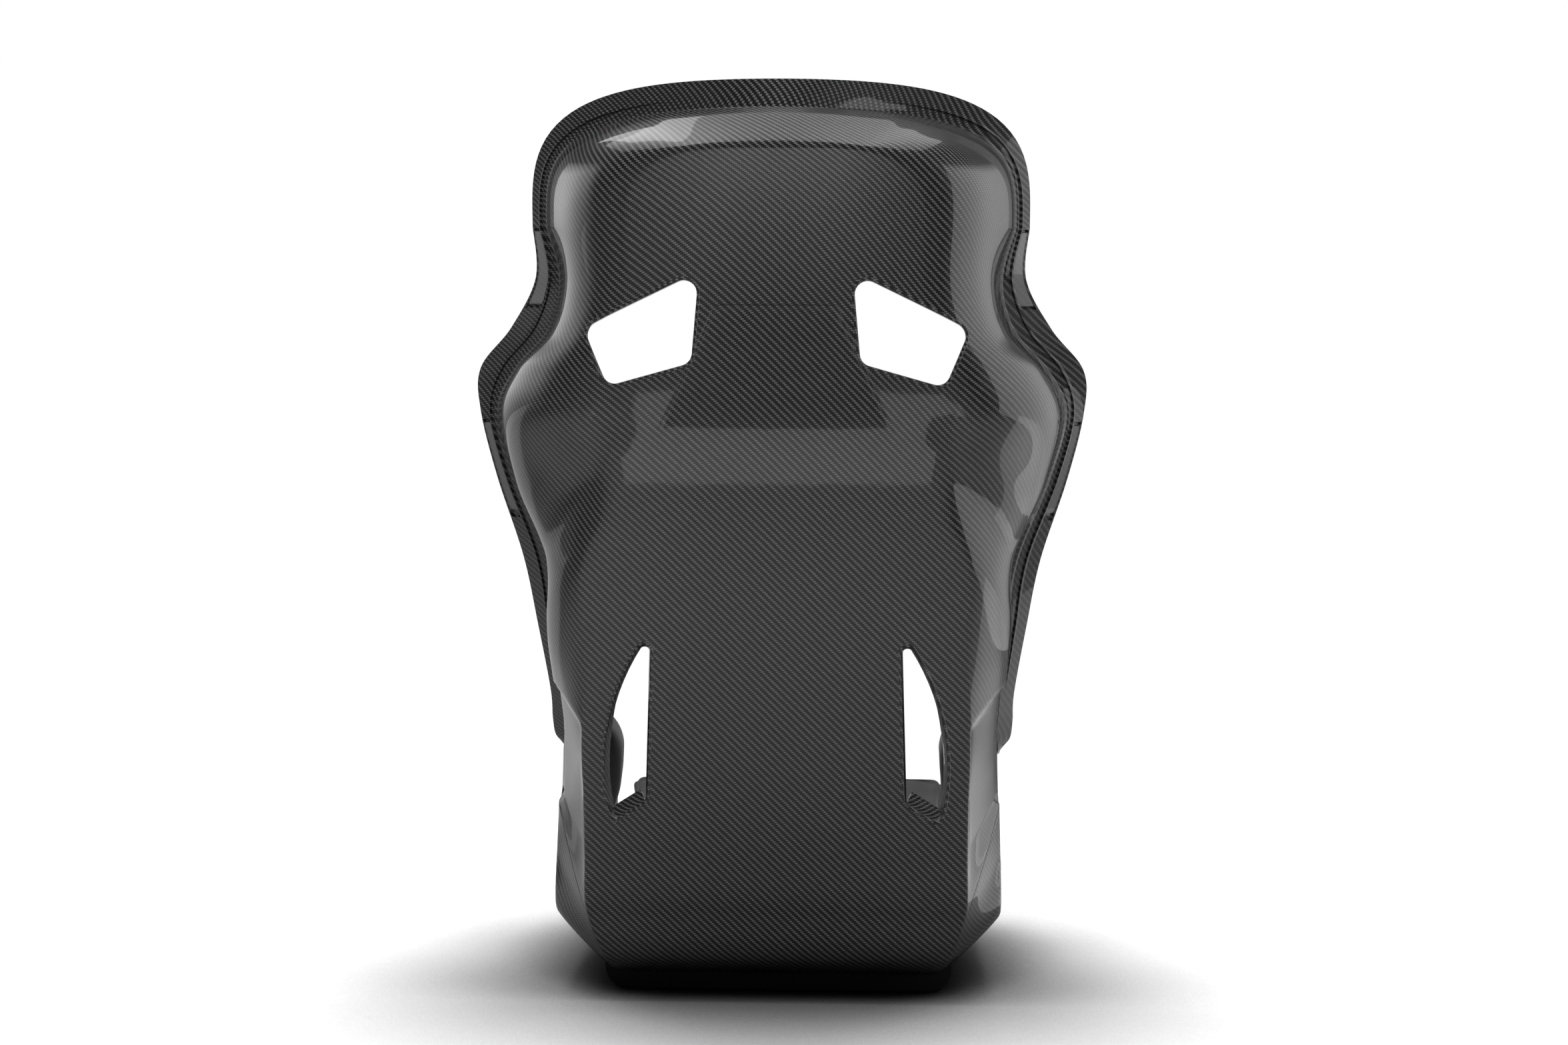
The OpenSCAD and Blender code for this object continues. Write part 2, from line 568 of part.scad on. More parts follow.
// ---- hook strips ---------------------------------------------------------------------------------
// Woven hook strips hold the cushions to the shell and lie in the gap behind them. A strip follows the
// shell's own sections between t0 and t1 and is clear of the wall and of the cushion.
strip_clear = 1.0;
strip_q = 0.2;
side_strip_q = 2.36;
module strip(t0, t1, q) {
    rows = [for (t = T_STEPS) if (t > t0 && t < t1) t];
    grid = function (h)
        [for (t = rows, a = [abs(q), abs(q) + strip_q]) on_shell(t, sign(q) * a, shell_t + h)];
    closed_patch(grid(hook_gap - strip_clear), grid(strip_clear), len(rows) - 1, 1);
}
module hook_strips() color(HOOK)
    for (side = [-1, 1]) {
        strip(KNEE_T[0], KNEE_T[1], side * 0.5);
        strip(LUMBAR_T[0], LUMBAR_T[1], side * 0.26);
        strip(BACK_T[0], BACK_T[1], side * 0.5);
        for (i = [1 : len(SIDE_PADS) - 1])
            strip(SIDE_PADS[i][1] + 0.2, min(SIDE_PADS[i][2], HEAD + 0.12), side * side_strip_q);
    }

shell();
foot();
foot_screws();
nut_plate();
mount_plate(1);  // mount_plate_left
mount_plate(-1);  // mount_plate_right
bushes(1);  // bushes_left
bushes(-1);  // bushes_right
crotch_trim();
hook_strips();
seat_cushion();
knee_cushion();
lumbar_cushion();
back_cushion();
head_cushion();
bolster(0, 1);  // thigh_bolster_left
bolster(0, -1);  // thigh_bolster_right
bolster(1, 1);  // hip_bolster_left
bolster(1, -1);  // hip_bolster_right
bolster(2, 1);  // rib_bolster_left
bolster(2, -1);  // rib_bolster_right
bolster(3, 1);  // shoulder_bolster_left
bolster(3, -1);  // shoulder_bolster_right
bolster(4, 1);  // head_bolster_left
bolster(4, -1);  // head_bolster_right
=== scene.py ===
import math
from collections import namedtuple

import bmesh
import bpy
from mathutils import Matrix, Vector
from mathutils.bvhtree import BVHTree


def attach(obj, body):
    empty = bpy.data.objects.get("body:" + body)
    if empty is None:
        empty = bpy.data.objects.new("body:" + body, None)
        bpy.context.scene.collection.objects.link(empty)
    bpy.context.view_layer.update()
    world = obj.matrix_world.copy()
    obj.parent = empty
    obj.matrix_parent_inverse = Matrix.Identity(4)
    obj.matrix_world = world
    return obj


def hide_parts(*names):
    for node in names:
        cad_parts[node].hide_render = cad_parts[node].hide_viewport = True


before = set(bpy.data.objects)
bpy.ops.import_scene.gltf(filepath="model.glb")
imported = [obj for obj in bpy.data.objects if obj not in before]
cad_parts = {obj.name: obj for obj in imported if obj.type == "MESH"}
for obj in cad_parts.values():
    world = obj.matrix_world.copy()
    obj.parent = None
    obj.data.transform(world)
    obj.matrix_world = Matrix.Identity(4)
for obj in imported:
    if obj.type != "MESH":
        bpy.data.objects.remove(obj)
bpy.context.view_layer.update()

MM = 0.001
scene = bpy.context.scene


# ---- the form of the shell, in millimetres ---------------------------------------------------------
SHELL_T = 4.0
PAN_Z = 20.0
BOW = 0.5
BACK_LEAN = math.radians(12)
HEEL_Y, HEEL_Z = 128, 95
HEAD_Z, SEAT_TOP = 756, 900
WING_DEPTH = 134
# the plain recess in each side of the base: it starts and ends at these places across, and its ridge and
# its top lie at these heights there
RECESS_X, RIDGE_Z, RECESS_TOP_Z = (188, 226), (88, 197), (280, 318)
# the valley between shoulder and waist: where it starts across, how far it runs, and its height there
VALLEY_X, VALLEY_RUN, VALLEY_Z = 154, 82, 548


def mix(a, b, f):
    return a + (b - a) * f


def clamp(v, low=0.0, high=1.0):
    return min(high, max(low, v))


def smooth(low, high, v):
    f = clamp((v - low) / (high - low))
    return f * f * (3 - 2 * f)


def back_at(z):
    return HEEL_Y + (z - HEEL_Z) * math.tan(BACK_LEAN)


Row = namedtuple("Row", "back_y back_z rim_y rim_z panel corner_w corner_d full rim lip setback")
ROWS = [Row(*r) for r in (
    (-322, 96, -310, 184, 163, 64, 34, 0.60, 227, 5, 2),
    (-280, 65.6, -276, 198, 159, 70, 40, 0.58, 229, 5, 2),
    (-205, 35.2, -205, 220, 153, 76, 52, 0.48, 229, 5, 2),
    (-118, 20, -142, 228, 153, 76, 66, 0.16, 229, 5, 2),
    (-30, 20, -96, 232, 157, 72, 70, 0.10, 229, 5, 2),
    (56, 20, -66, 234, 159, 70, 70, 0.10, 229, 5, 2),
    (110, 44, -50, 238, 169, 59, 66, 0.10, 228, 6, 3),
    (back_at(95), 95, -44, 243, 187, 40, 84, 0.08, 227, 11, 5),
    (back_at(148), 148, -38, 251, 189, 37, 92, 0.08, 226, 18, 8),
    (back_at(205), 205, -30, 270, 189, 36, 96, 0.08, 225, 21, 9),
    (back_at(262), 262, -10, 303, 191, 34, 92, 0.10, 227, 19, 9),
    (back_at(345), 345, 18, 374, 180, 54, 98, 0.42, 234, 22, 9),
    (back_at(430), 430, 42, 446, 181.2, 56, 92, 0.48, 242.2, 26, 9),
    (back_at(520), 520, 60, 528, 153.1, 112, 104, 0.46, 273.1, 20, 9),
    (back_at(585), 585, 76, 595, 182, 96, 108, 0.55, 288, 20, 9),
    (back_at(625), 625, 90, 638, 168, 92, 100, 0.55, 268, 38, 9),
    (back_at(662), 662, 110, 677, 154, 70, 92, 0.55, 232, 40, 9),
    (back_at(704), 704, 134, 724, 146, 64, 86, 0.55, 218, 26, 8),
    (back_at(HEAD_Z), HEAD_Z, back_at(HEAD_Z) - 132, 775, 147, 70, 92, 0.55, 231, 16, 8),
)]
HEAD = len(ROWS) - 1
TOP_ROW = ROWS[HEAD]
HEAD_MID = Vector((0, TOP_ROW.back_y, TOP_ROW.back_z))
WING_DIR = Vector((0, TOP_ROW.rim_y - TOP_ROW.back_y, TOP_ROW.rim_z - TOP_ROW.back_z)).normalized()
UP_DIR = Vector((0, math.sin(BACK_LEAN), math.cos(BACK_LEAN)))
TOP_D, TOP_SET, TOP_LIP, TOP_CORNER, TOP_CORNER_D = 46, 6, 27, 34, 36
TOP_REACH = (SEAT_TOP - HEAD_Z - (TOP_D + TOP_SET) * WING_DIR.z) / UP_DIR.z


def along(t):
    """The row at t, on a smooth curve through the rows"""
    i = min(int(t), HEAD - 1)
    f = t - i
    out = []
    for k in range(len(TOP_ROW)):
        a, b, c, d = (ROWS[j][k] for j in (max(i - 1, 0), i, i + 1, min(i + 2, HEAD)))
        out.append((2 * b + (c - a) * f + (2 * a - 5 * b + 4 * c - d) * f * f
                    + (3 * b - a - 3 * c + d) * f ** 3) / 2)
    return Row(*out)


def oval(a, b, ang, square=3.3):
    c, s = max(math.cos(ang), 0) / a, max(math.sin(ang), 0) / b
    return (c ** square + s ** square) ** (-1 / square)


Section = namedtuple("Section", "mid sideways inwards depth " + " ".join(Row._fields[4:]) + " bow crisp")


def section(t):
    """The shell cut across at t: rows up to the head, then turned about the middle of the head. The bow is
    how hollow the panel is; crisp is 1 where the creases are sharp"""
    if t <= HEAD:
        r = along(t)
        back = Vector((0, r.back_y, max(r.back_z, PAN_Z)))
        wall = Vector((0, r.rim_y, r.rim_z)) - back
        return Section(back, Vector((1, 0, 0)), wall.normalized(), wall.length, *r[4:],
                       BOW * clamp((t - 6) / 2), 0.0)
    ang = (t - HEAD) * math.pi / 2
    r = TOP_ROW
    s = math.sin(ang) ** 2

    def turned(start):
        return clamp((ang - math.radians(start)) / math.radians(14))

    out = oval(r.rim + r.lip, TOP_REACH, ang)
    rim = oval(r.rim, TOP_REACH - TOP_LIP, ang)
    soft = oval(r.panel + r.corner_w, TOP_REACH - TOP_LIP - 5, ang)
    panel = oval(r.panel, TOP_REACH - TOP_LIP - TOP_CORNER, ang)
    return Section(HEAD_MID, math.cos(ang) * Vector((1, 0, 0)) + math.sin(ang) * UP_DIR, WING_DIR,
                   mix(WING_DEPTH, TOP_D, s), panel, soft - panel, mix(r.corner_d, TOP_CORNER_D, s),
                   mix(r.full, 0.06, turned(28)), rim, out - rim, mix(r.setback, TOP_SET, s), BOW, turned(26))


def sharp_profile(s, q):
    """Half profile of a section, sideways and in depth: 0-1 panel, 1-2 corner, 2-3 side wall, 3-4 lip"""
    fillet = min(mix(4, 2.5, s.crisp), s.lip * 0.5)
    edge_w, edge_d = s.panel + s.corner_w, s.depth - fillet
    flare = (s.rim - s.panel - s.corner_w) / (s.depth - fillet - s.corner_d)
    if q <= 1:
        return s.panel * q, s.bow * q * q
    if q <= 2:
        f = q - 1
        w = ((1 - f) ** 3, 3 * (1 - f) ** 2 * f, 3 * (1 - f) * f * f, f ** 3)
        drop = s.full * (s.corner_d - s.bow)
        xs = (s.panel, s.panel + s.full * s.corner_w, edge_w - flare * drop, edge_w)
        ds = (s.bow, s.bow + 2 * s.bow * s.full * s.corner_w / s.panel, s.corner_d - drop, s.corner_d)
        return sum(a * b for a, b in zip(w, xs)), sum(a * b for a, b in zip(w, ds))
    if q <= 2.7:
        return mix(edge_w, s.rim, (q - 2) / 0.7), mix(s.corner_d, edge_d, (q - 2) / 0.7)
    if q <= 3:
        a = math.radians((q - 2.7) * 300)
        return s.rim + fillet * (1 - math.cos(a)), edge_d + fillet * math.sin(a)
    return mix(s.rim + fillet, s.rim + s.lip, q - 3), mix(s.depth, s.depth + s.setback, q - 3)


def profile(s, q):
    """The profile with its two creases eased by a small radius"""
    facet = math.hypot(s.corner_w, s.corner_d)
    low, high = mix(9, 7, s.crisp), mix(8, 1.5, s.crisp)
    for crease, before, after in ((1, low / s.panel, low / facet),
                                  (2, high / facet, high * 0.7 / max(s.depth - s.corner_d, 16))):
        f = (q - crease + before) / (before + after)
        if 0 < f < 1:
            pts = [sharp_profile(s, crease + d) for d in (-before, 0, after)]
            return tuple((1 - f) ** 2 * a + 2 * f * (1 - f) * b + f * f * c for a, b, c in zip(*pts))
    return sharp_profile(s, q)


def on_shell(t, q, h=0.0, s=None):
    """The point at section t and place q, h inside the shell's outer face; negative q is at negative X."""
    s = s or section(t)
    a = abs(q)
    p = profile(s, a)
    hi, lo = profile(s, min(a + 0.02, 4)), profile(s, max(a - 0.02, 0))
    run = math.hypot(hi[0] - lo[0], hi[1] - lo[1])
    n = (0, 1) if a == 0 else (-(hi[1] - lo[1]) / run, (hi[0] - lo[0]) / run)
    v = s.mid + (p[0] + h * n[0]) * s.sideways + (p[1] + h * n[1]) * s.inwards
    return Vector((v.x * (-1 if q < 0 else 1), v.y, max(v.z, PAN_Z + h)))


# ---- small helpers ---------------------------------------------------------------------------------
def mesh_object(name, bm_or_mesh, material=None):
    """A new object from a bmesh, which is used up, or from a mesh"""
    mesh = bm_or_mesh
    if isinstance(mesh, bmesh.types.BMesh):
        mesh = bpy.data.meshes.new(name)
        bm_or_mesh.to_mesh(mesh)
        bm_or_mesh.free()
    obj = bpy.data.objects.new(name, mesh)
    scene.collection.objects.link(obj)
    if material:
        mesh.materials.append(material)
    return obj


def finished(obj, name):
    """The mesh of an object with its modifiers applied, as a new object; the old one is removed."""
    bpy.context.view_layer.update()
    mesh = bpy.data.meshes.new_from_object(obj.evaluated_get(bpy.context.evaluated_depsgraph_get()))
    old = obj.data
    bpy.data.objects.remove(obj)
    if isinstance(old, bpy.types.Mesh):
        bpy.data.meshes.remove(old)
    mesh.name = name
    return mesh_object(name, mesh)


def shade(obj, angle):
    """Smooth shading, with edges sharper than the angle left crisp"""
    for p in obj.data.polygons:
        p.use_smooth = True
    obj.data.set_sharp_from_angle(angle=math.radians(angle))
    return obj


def part(obj, slot, *nodes):
    """A finished piece: it rides on the seat and may stand for CAD nodes, which it hides; slot is not used"""
    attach(obj, "root")
    if nodes:
        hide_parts(*nodes)
    return obj


def spaced(stops):
    """Numbers from [(start, steps), ..., (end, 0)], evenly spaced between the starts"""
    out = []
    for (a, n), (b, _) in zip(stops, stops[1:]):
        out += [mix(a, b, k / n) for k in range(n)]
    return out + [stops[-1][0]]


# ---- materials -------------------------------------------------------------------------------------
class Nodes:
    """A material's node tree, written as short lines"""

    def __init__(self, name):
        self.material = bpy.data.materials.new(name)
        self.material.use_nodes = True
        self.tree = self.material.node_tree
        self.bsdf = self.tree.nodes["Principled BSDF"]

    def add(self, kind, *inputs, **settings):
        n = self.tree.nodes.new(kind)
        for k, v in settings.items():
            setattr(n, k, v)
        for k, v in enumerate(inputs):
            if v is not None:
                self.put(v, n.inputs[k])
        return n

    def put(self, value, socket):
        if isinstance(value, bpy.types.NodeSocket):
            self.tree.links.new(value, socket)
        elif isinstance(value, bpy.types.Node):
            self.tree.links.new(value.outputs[0], socket)
        else:
            socket.default_value = value

    def math(self, op, a, b=0.0, c=None):
        n = self.add("ShaderNodeMath", a, b, operation=op)
        if c is not None:
            self.put(c, n.inputs[2])
        return n.outputs[0]

    def times(self, value, *factors):
        for factor in factors:
            value = self.math("MULTIPLY", value, factor)
        return value

    def plus(self, a, b):
        return self.math("ADD", a, b)

    def minus(self, a, b):
        return self.math("SUBTRACT", a, b)

    def stretched(self, vector, scale):
        return self.add("ShaderNodeVectorMath", vector, scale, operation="MULTIPLY").outputs[0]

    def ramp(self, value, low, high, out_low=0.0, out_high=1.0):
        n = self.add("ShaderNodeMapRange", value, interpolation_type="SMOOTHSTEP")
        for k, v in enumerate((low, high, out_low, out_high)):
            n.inputs[k + 1].default_value = v
        return n.outputs[0]

    def colour(self, factor, a, b):
        n = self.add("ShaderNodeMix", data_type="RGBA")
        self.put(factor, n.inputs[0])
        for k, v in ((6, a), (7, b)):
            if isinstance(v, tuple):
                v = v + (1,)
            self.put(v, n.inputs[k])
        return n.outputs[2]

    def noise(self, vector, scale, detail=2.0, rough=0.5):
        n = self.add("ShaderNodeTexNoise")
        self.put(vector, n.inputs["Vector"])
        n.inputs["Scale"].default_value = scale
        n.inputs["Detail"].default_value = detail
        n.inputs["Roughness"].default_value = rough
        return n.outputs["Fac"]

    def bump(self, height, distance, strength=1.0, normal=None):
        n = self.add("ShaderNodeBump")
        n.inputs["Strength"].default_value = strength
        n.inputs["Distance"].default_value = distance
        self.put(height, n.inputs["Height"])
        if normal is not None:
            self.put(normal, n.inputs["Normal"])
        return n.outputs[0]

    def object_xyz(self):
        return self.add("ShaderNodeTexCoord").outputs["Object"]

    def split(self, vector):
        return self.add("ShaderNodeSeparateXYZ", vector).outputs

    def set(self, **values):
        for k, v in values.items():
            socket = self.bsdf.inputs[k.replace("_", " ")]
            if isinstance(v, tuple):
                v = v + (1,)
            self.put(v, socket)


TOW = 1.85 * MM


def twill(n, dark, light):
    """2x2 twill: colour and height of the tows, from the UV map named weave, in metres. The colour carries
    painted light: a painted sheen on the weft tows and on each tow's crown, and painted shade at the tows'
    edges and ends
    """
    uv = n.add("ShaderNodeUVMap", uv_map="weave").outputs[0]
    u, v, _ = n.split(n.stretched(uv, (1 / TOW,) * 3))
    i, j = n.math("FLOOR", u), n.math("FLOOR", v)
    fu, fv = n.math("FRACT", u), n.math("FRACT", v)
    step = n.math("FLOORED_MODULO", n.minus(i, j), 4.0)
    weft = n.math("GREATER_THAN", step, 1.5)

    def choose(warp_value, weft_value):
        return n.plus(n.times(weft, weft_value), n.times(n.minus(1.0, weft), warp_value))

    # where the point lies across its tow, and along the two squares over which that tow lies on top
    across = choose(fu, fv)
    first = n.math("FLOORED_MODULO", step, 2.0)
    run = n.times(choose(n.minus(n.plus(first, 1.0), fv), n.plus(first, fu)), 0.5)
    crown = n.math("SINE", n.times(across, math.pi))
    ends = n.math("SINE", n.times(n.math("FRACT", run), math.pi))
    height = n.times(n.math("POWER", crown, 0.7), n.math("POWER", ends, 0.5))
    tow = n.add("ShaderNodeTexWhiteNoise", n.add("ShaderNodeCombineXYZ", i, j),
                noise_dimensions="2D").outputs[0]
    fibre = n.noise(n.stretched(uv, (300.0, 300.0, 1.0)), 9.0, 3.0)
    # painted sheen on each tow's crown and painted shade at its edges and ends, times the tow's own random
    # tone
    crown_sheen_and_tone = n.times(n.ramp(height, 0.1, 0.95, 0.2, 1.12), n.plus(0.75, n.times(n.plus(tow, fibre), 0.25)))
    # the weft tows take the light tone, a painted sheen in place of the reflection that changes with the
    # tows' direction
    tone = n.add("ShaderNodeVectorMath", n.colour(weft, dark, light), operation="SCALE")
    n.put(crown_sheen_and_tone, tone.inputs["Scale"])
    return tone.outputs[0], height


def sunk_panel(n, x, z):
    """Height of the panel sunk in two steps between the shoulder openings, fading out at its foot"""
    top = n.minus(0.6875, z)
    side = n.minus(n.plus(0.058, n.times(top, 0.47)), n.math("ABSOLUTE", x))
    inwards = n.math("SMOOTH_MIN", top, side, 0.008)
    steps = n.plus(n.ramp(inwards, 0.0, 0.0018), n.times(n.ramp(inwards, 0.0038, 0.0056), 0.7))
    return n.times(steps, n.ramp(z, 0.552, 0.640), -1.0)


def base_recess(n, x, y, z):
    """Where the recess in the side of the base is bare, and the fine groove along the ridge under it"""
    part_way = n.add("ShaderNodeMapRange", n.math("ABSOLUTE", x))
    for k, v in enumerate((RECESS_X[0] * MM, RECESS_X[1] * MM, 0.0, 1.0)):
        part_way.inputs[k + 1].default_value = v

    def line(ends):
        return n.math("MULTIPLY_ADD", part_way, (ends[1] - ends[0]) * MM, ends[0] * MM)

    above, below = n.minus(z, line(RIDGE_Z)), n.minus(line(RECESS_TOP_Z), z)
    rear = n.times(n.ramp(y, 0.0365, 0.038), n.ramp(part_way.outputs[0], 0.06, 0.09))
    bare = n.times(n.ramp(above, 0.0, 0.0006), n.ramp(below, 0.0, 0.0006), rear)
    return bare, n.times(n.ramp(n.math("ABSOLUTE", above), 0.0016, 0.0004), rear)


def carbon(name, relief=True):
    """Woven carbon under clear lacquer; relief adds the sunk panel, the plain places of the shell, and the
    groove under the base recess, painted near-black as shade
    """
    n = Nodes(name)
    # the light tone is a painted sheen on the weft tows
    colour, height = twill(n, (0.010, 0.010, 0.0105), (0.090, 0.090, 0.092))
    bump = n.bump(height, 0.12 * MM, 0.6)
    lacquer = n.bump(n.noise(n.object_xyz(), 120.0, 2.0), 0.05 * MM, 0.25)
    if relief:
        x, y, z = n.split(n.object_xyz())
        # this attribute is -1 on the inner face of the skin, which has neither panel nor recess
        plain = n.add("ShaderNodeAttribute", attribute_name="plain").outputs["Fac"]
        outside = n.ramp(plain, -0.6, -0.4)
        bare, groove = (n.times(mask, outside) for mask in base_recess(n, x, y, z))
        for depth, distance in ((n.times(sunk_panel(n, x, z), outside), 1.0 * MM), (groove, -1.2 * MM)):
            bump = n.bump(depth, distance, 1.0, bump)
            lacquer = n.bump(depth, distance, 1.0, lacquer)
        plain = n.math("MAXIMUM", plain, n.times(bare, 0.7))
        colour = n.colour(plain, colour, (0.17, 0.17, 0.173))
        # painted shade: the groove along the ridge is painted near-black over its bump
        colour = n.colour(groove, colour, (0.012, 0.012, 0.012))
    n.set(Base_Color=colour, Roughness=0.36, Specular_IOR_Level=0.35, Normal=bump,
          Coat_Weight=1.0, Coat_Roughness=0.035, Coat_IOR=1.5, Coat_Normal=lacquer)
    return n.material


def suede(name, tone):
    """Brushed suede with a fine nap and cloudy wear"""
    n = Nodes(name)
    xyz = n.object_xyz()
    nap = n.noise(xyz, 2600.0, 3.0, 0.6)
    cloud = n.noise(xyz, 22.0, 3.0)
    dark = tuple(c * 0.72 for c in tone)
    light = tuple(c * 1.25 for c in tone)
    worn = n.ramp(n.plus(n.times(nap, 0.6), n.times(cloud, 0.4)), 0.3, 0.7)
    n.set(Base_Color=n.colour(worn, dark, light), Roughness=0.95, Specular_IOR_Level=0.15,
          Sheen_Weight=0.35, Sheen_Roughness=0.5, Normal=n.bump(nap, 0.25 * MM, 0.5))
    return n.material


def mesh_cloth(name):
    """Knitted spacer mesh: rows of small oblong holes from the UV map named weave, painted dark as the shade
    inside them
    """
    n = Nodes(name)
    uv = n.add("ShaderNodeUVMap", uv_map="weave").outputs[0]
    cell = n.add("ShaderNodeTexVoronoi", feature="F1")
    n.put(n.stretched(uv, (260.0, 420.0, 1.0)), cell.inputs["Vector"])
    cell.inputs["Scale"].default_value = 1.0
    cell.inputs["Randomness"].default_value = 0.15
    hole = n.ramp(cell.outputs["Distance"], 0.18, 0.42)
    fuzz = n.noise(n.object_xyz(), 1800.0, 3.0)
    # the holes are painted near-black, as painted shade inside them
    colour = n.colour(hole, (0.008, 0.008, 0.009), (0.055, 0.055, 0.058))
    colour = n.colour(n.ramp(fuzz, 0.35, 0.75, 0.0, 0.35), colour, (0.09, 0.09, 0.095))
    n.set(Base_Color=colour, Roughness=0.85, Specular_IOR_Level=0.2, Sheen_Weight=0.25, Sheen_Roughness=0.5,
          Normal=n.bump(hole, 0.5 * MM, 0.7))
    return n.material


def moulded(name, tone, grain=900.0, rough=0.55):
    """Moulded plastic with a fine grained skin"""
    n = Nodes(name)
    xyz = n.object_xyz()
    skin = n.noise(xyz, grain, 4.0, 0.6)
    cloud = n.noise(xyz, 14.0, 2.0)
    n.set(Base_Color=n.colour(cloud, tuple(c * 0.8 for c in tone), tuple(c * 1.25 for c in tone)),
          Roughness=n.ramp(skin, 0.3, 0.7, rough - 0.08, rough + 0.12), Specular_IOR_Level=0.4,
          Normal=n.bump(skin, 0.12 * MM, 0.5))
    return n.material


def metal(name, tone, rough, stretch):
    """Metal brushed along one axis; stretch is how much finer the marks are across each axis"""
    n = Nodes(name)
    brushed = n.noise(n.stretched(n.object_xyz(), stretch), 40.0, 3.0)
    n.set(Base_Color=n.colour(brushed, tuple(c * 0.85 for c in tone), tone), Metallic=1.0,
          Roughness=n.ramp(brushed, 0.3, 0.7, rough - 0.06, rough + 0.08),
          Normal=n.bump(brushed, 0.03 * MM, 0.3))
    return n.material


def hook_tape(name):
    """The rough face of hook and loop tape"""
    n = Nodes(name)
    hooks = n.add("ShaderNodeTexVoronoi", feature="F1")
    n.put(n.object_xyz(), hooks.inputs["Vector"])
    hooks.inputs["Scale"].default_value = 900.0
    far = hooks.outputs["Distance"]
    # lighter on the hooks and darker between them: painted highlight on the hooks and painted shade in the
    # gaps
    n.set(Base_Color=n.colour(n.ramp(far, 0.1, 0.6), (0.05, 0.05, 0.05), (0.008, 0.008, 0.008)),
          Roughness=0.9, Normal=n.bump(far, 0.3 * MM, 0.6))
    return n.material


CARBON = carbon("twill carbon under lacquer")
CARBON_EDGE = carbon("twill carbon of rolled edges", relief=False)
SUEDE = suede("grey suede", (0.085, 0.085, 0.087))
MESH_CLOTH = mesh_cloth("spacer mesh")
PIPING = suede("suede piping", (0.065, 0.065, 0.067))
# the foot's near-black tone is partly its black plastic and partly painted shade under the shell
FOOT_BLACK_AND_SHADE = moulded("black moulded foot in painted shade", (0.006, 0.006, 0.006))
PLASTIC = moulded("satin black trim", (0.02, 0.02, 0.02), 1500.0, 0.4)
ZINC = metal("zinc plated steel", (0.62, 0.62, 0.60), 0.32, (1.0, 6.0, 6.0))
ALLOY = metal("brushed alloy", (0.78, 0.79, 0.81), 0.36, (6.0, 1.0, 6.0))
HOOKS = hook_tape("hook tape")


# ---- belt openings ---------------------------------------------------------------------------------
OPENING_FACE = 2.2          # how far the skin is cut back from the opening inside its rolled edge


def rounded(corners, radius):
    """A closed outline with arcs of the given radius in place of its corners of 25 degrees or more"""
    out = []
    n = len(corners)
    for k in range(n):
        a, b, c = (Vector(corners[(k + d) % n]) for d in (-1, 0, 1))
        e, f = (a - b).normalized(), (c - b).normalized()
        turn = math.pi - e.angle(f)
        if math.degrees(turn) < 25:
            out.append(b)
            continue
        half = (math.pi - turn) / 2
        centre = b + (e + f).normalized() * radius / math.sin(half)
        start, end = b + e * radius / math.tan(half) - centre, b + f * radius / math.tan(half) - centre
        out += [centre + start.slerp(end, s / 8).normalized() * radius for s in range(9)]
    return out


def even(points, gap):
    """The same closed outline with points about gap apart on its long sides"""
    out = []
    for a, b in zip(points, points[1:] + points[:1]):
        n = max(1, round((b - a).length / gap))
        out += [a.lerp(b, k / n) for k in range(n)]
    return out


def shoulder_outline():
    return even(rounded([(80, 633), (159.6, 611), (182, 665), (72, 717)], 12), 4)


def lap_outline():
    radius, mid_x, mid_z, low, high = 224, -56, 240, 187, 363
    first, last = (math.asin((z - mid_z) / radius) for z in (low, high))
    angles = [mix(first, last, k / 14) for k in range(15)]
    arc = [(radius * math.cos(a) + mid_x, mid_z + radius * math.sin(a)) for a in angles]
    return even(rounded([(127, 209)] + arc + [(121.3, high)], 5.8), 4)


def outwards(outline):
    """The outward direction at each point of an outline"""
    n = len(outline)
    steps = [(outline[(k + 1) % n] - outline[k - 1]).normalized() for k in range(n)]
    return [Vector((d.y, -d.x)) for d in steps]


def prism(bm, points, length):
    """A block from a face drawn through the points, as a cutter; returns its vertices"""
    verts = [bm.verts.new(p * MM) for p in points]
    out = bmesh.ops.extrude_face_region(bm, geom=[bm.faces.new(verts)], use_keep_orig=True)
    moved = [v for v in out["geom"] if isinstance(v, bmesh.types.BMVert)]
    bmesh.ops.translate(bm, verts=moved, vec=Vector(length) * MM)
    return verts + moved


# ---- the shell -------------------------------------------------------------------------------------
# where the skin's rows and columns lie: close together where the relief turns sharply
ROW_T = spaced([(0, 48), (6, 56), (9.5, 50), (12.49, 1), (12.51, 2), (12.57, 1), (12.59, 20), (13.76, 1),
                (13.78, 2), (13.84, 1), (13.86, 42), (16.42, 1), (16.44, 2), (16.51, 1), (16.53, 20),
                (17.85, 1), (17.87, 2), (17.92, 1), (17.94, 1), (18, 44), (19, 0)])
COL_Q = spaced([(0, 8), (0.93, 8), (1.12, 10), (1.84, 4), (2.06, 8), (2.7, 5), (3, 1), (3.04, 1), (3.07, 2),
                (3.2, 2), (3.3, 1), (3.33, 1), (3.36, 1), (3.42, 1), (3.45, 2), (3.9, 1), (3.93, 1),
                (4, 0)])
# the rows between which the lip is hollowed out
HOLLOWS = ((12.5, 13.85), (16.43, 17.93))
HOLLOW_DEEP, HOLLOW_END_DEEP, GROOVE_DEEP, RIB_HIGH, RECESS_DEEP, VALLEY_DEEP = 1.4, 3.0, 2.4, 0.5, 5.0, 4.6
GIVES_WAY = 2.4             # a relief deeper than this pushes the inner face in as well


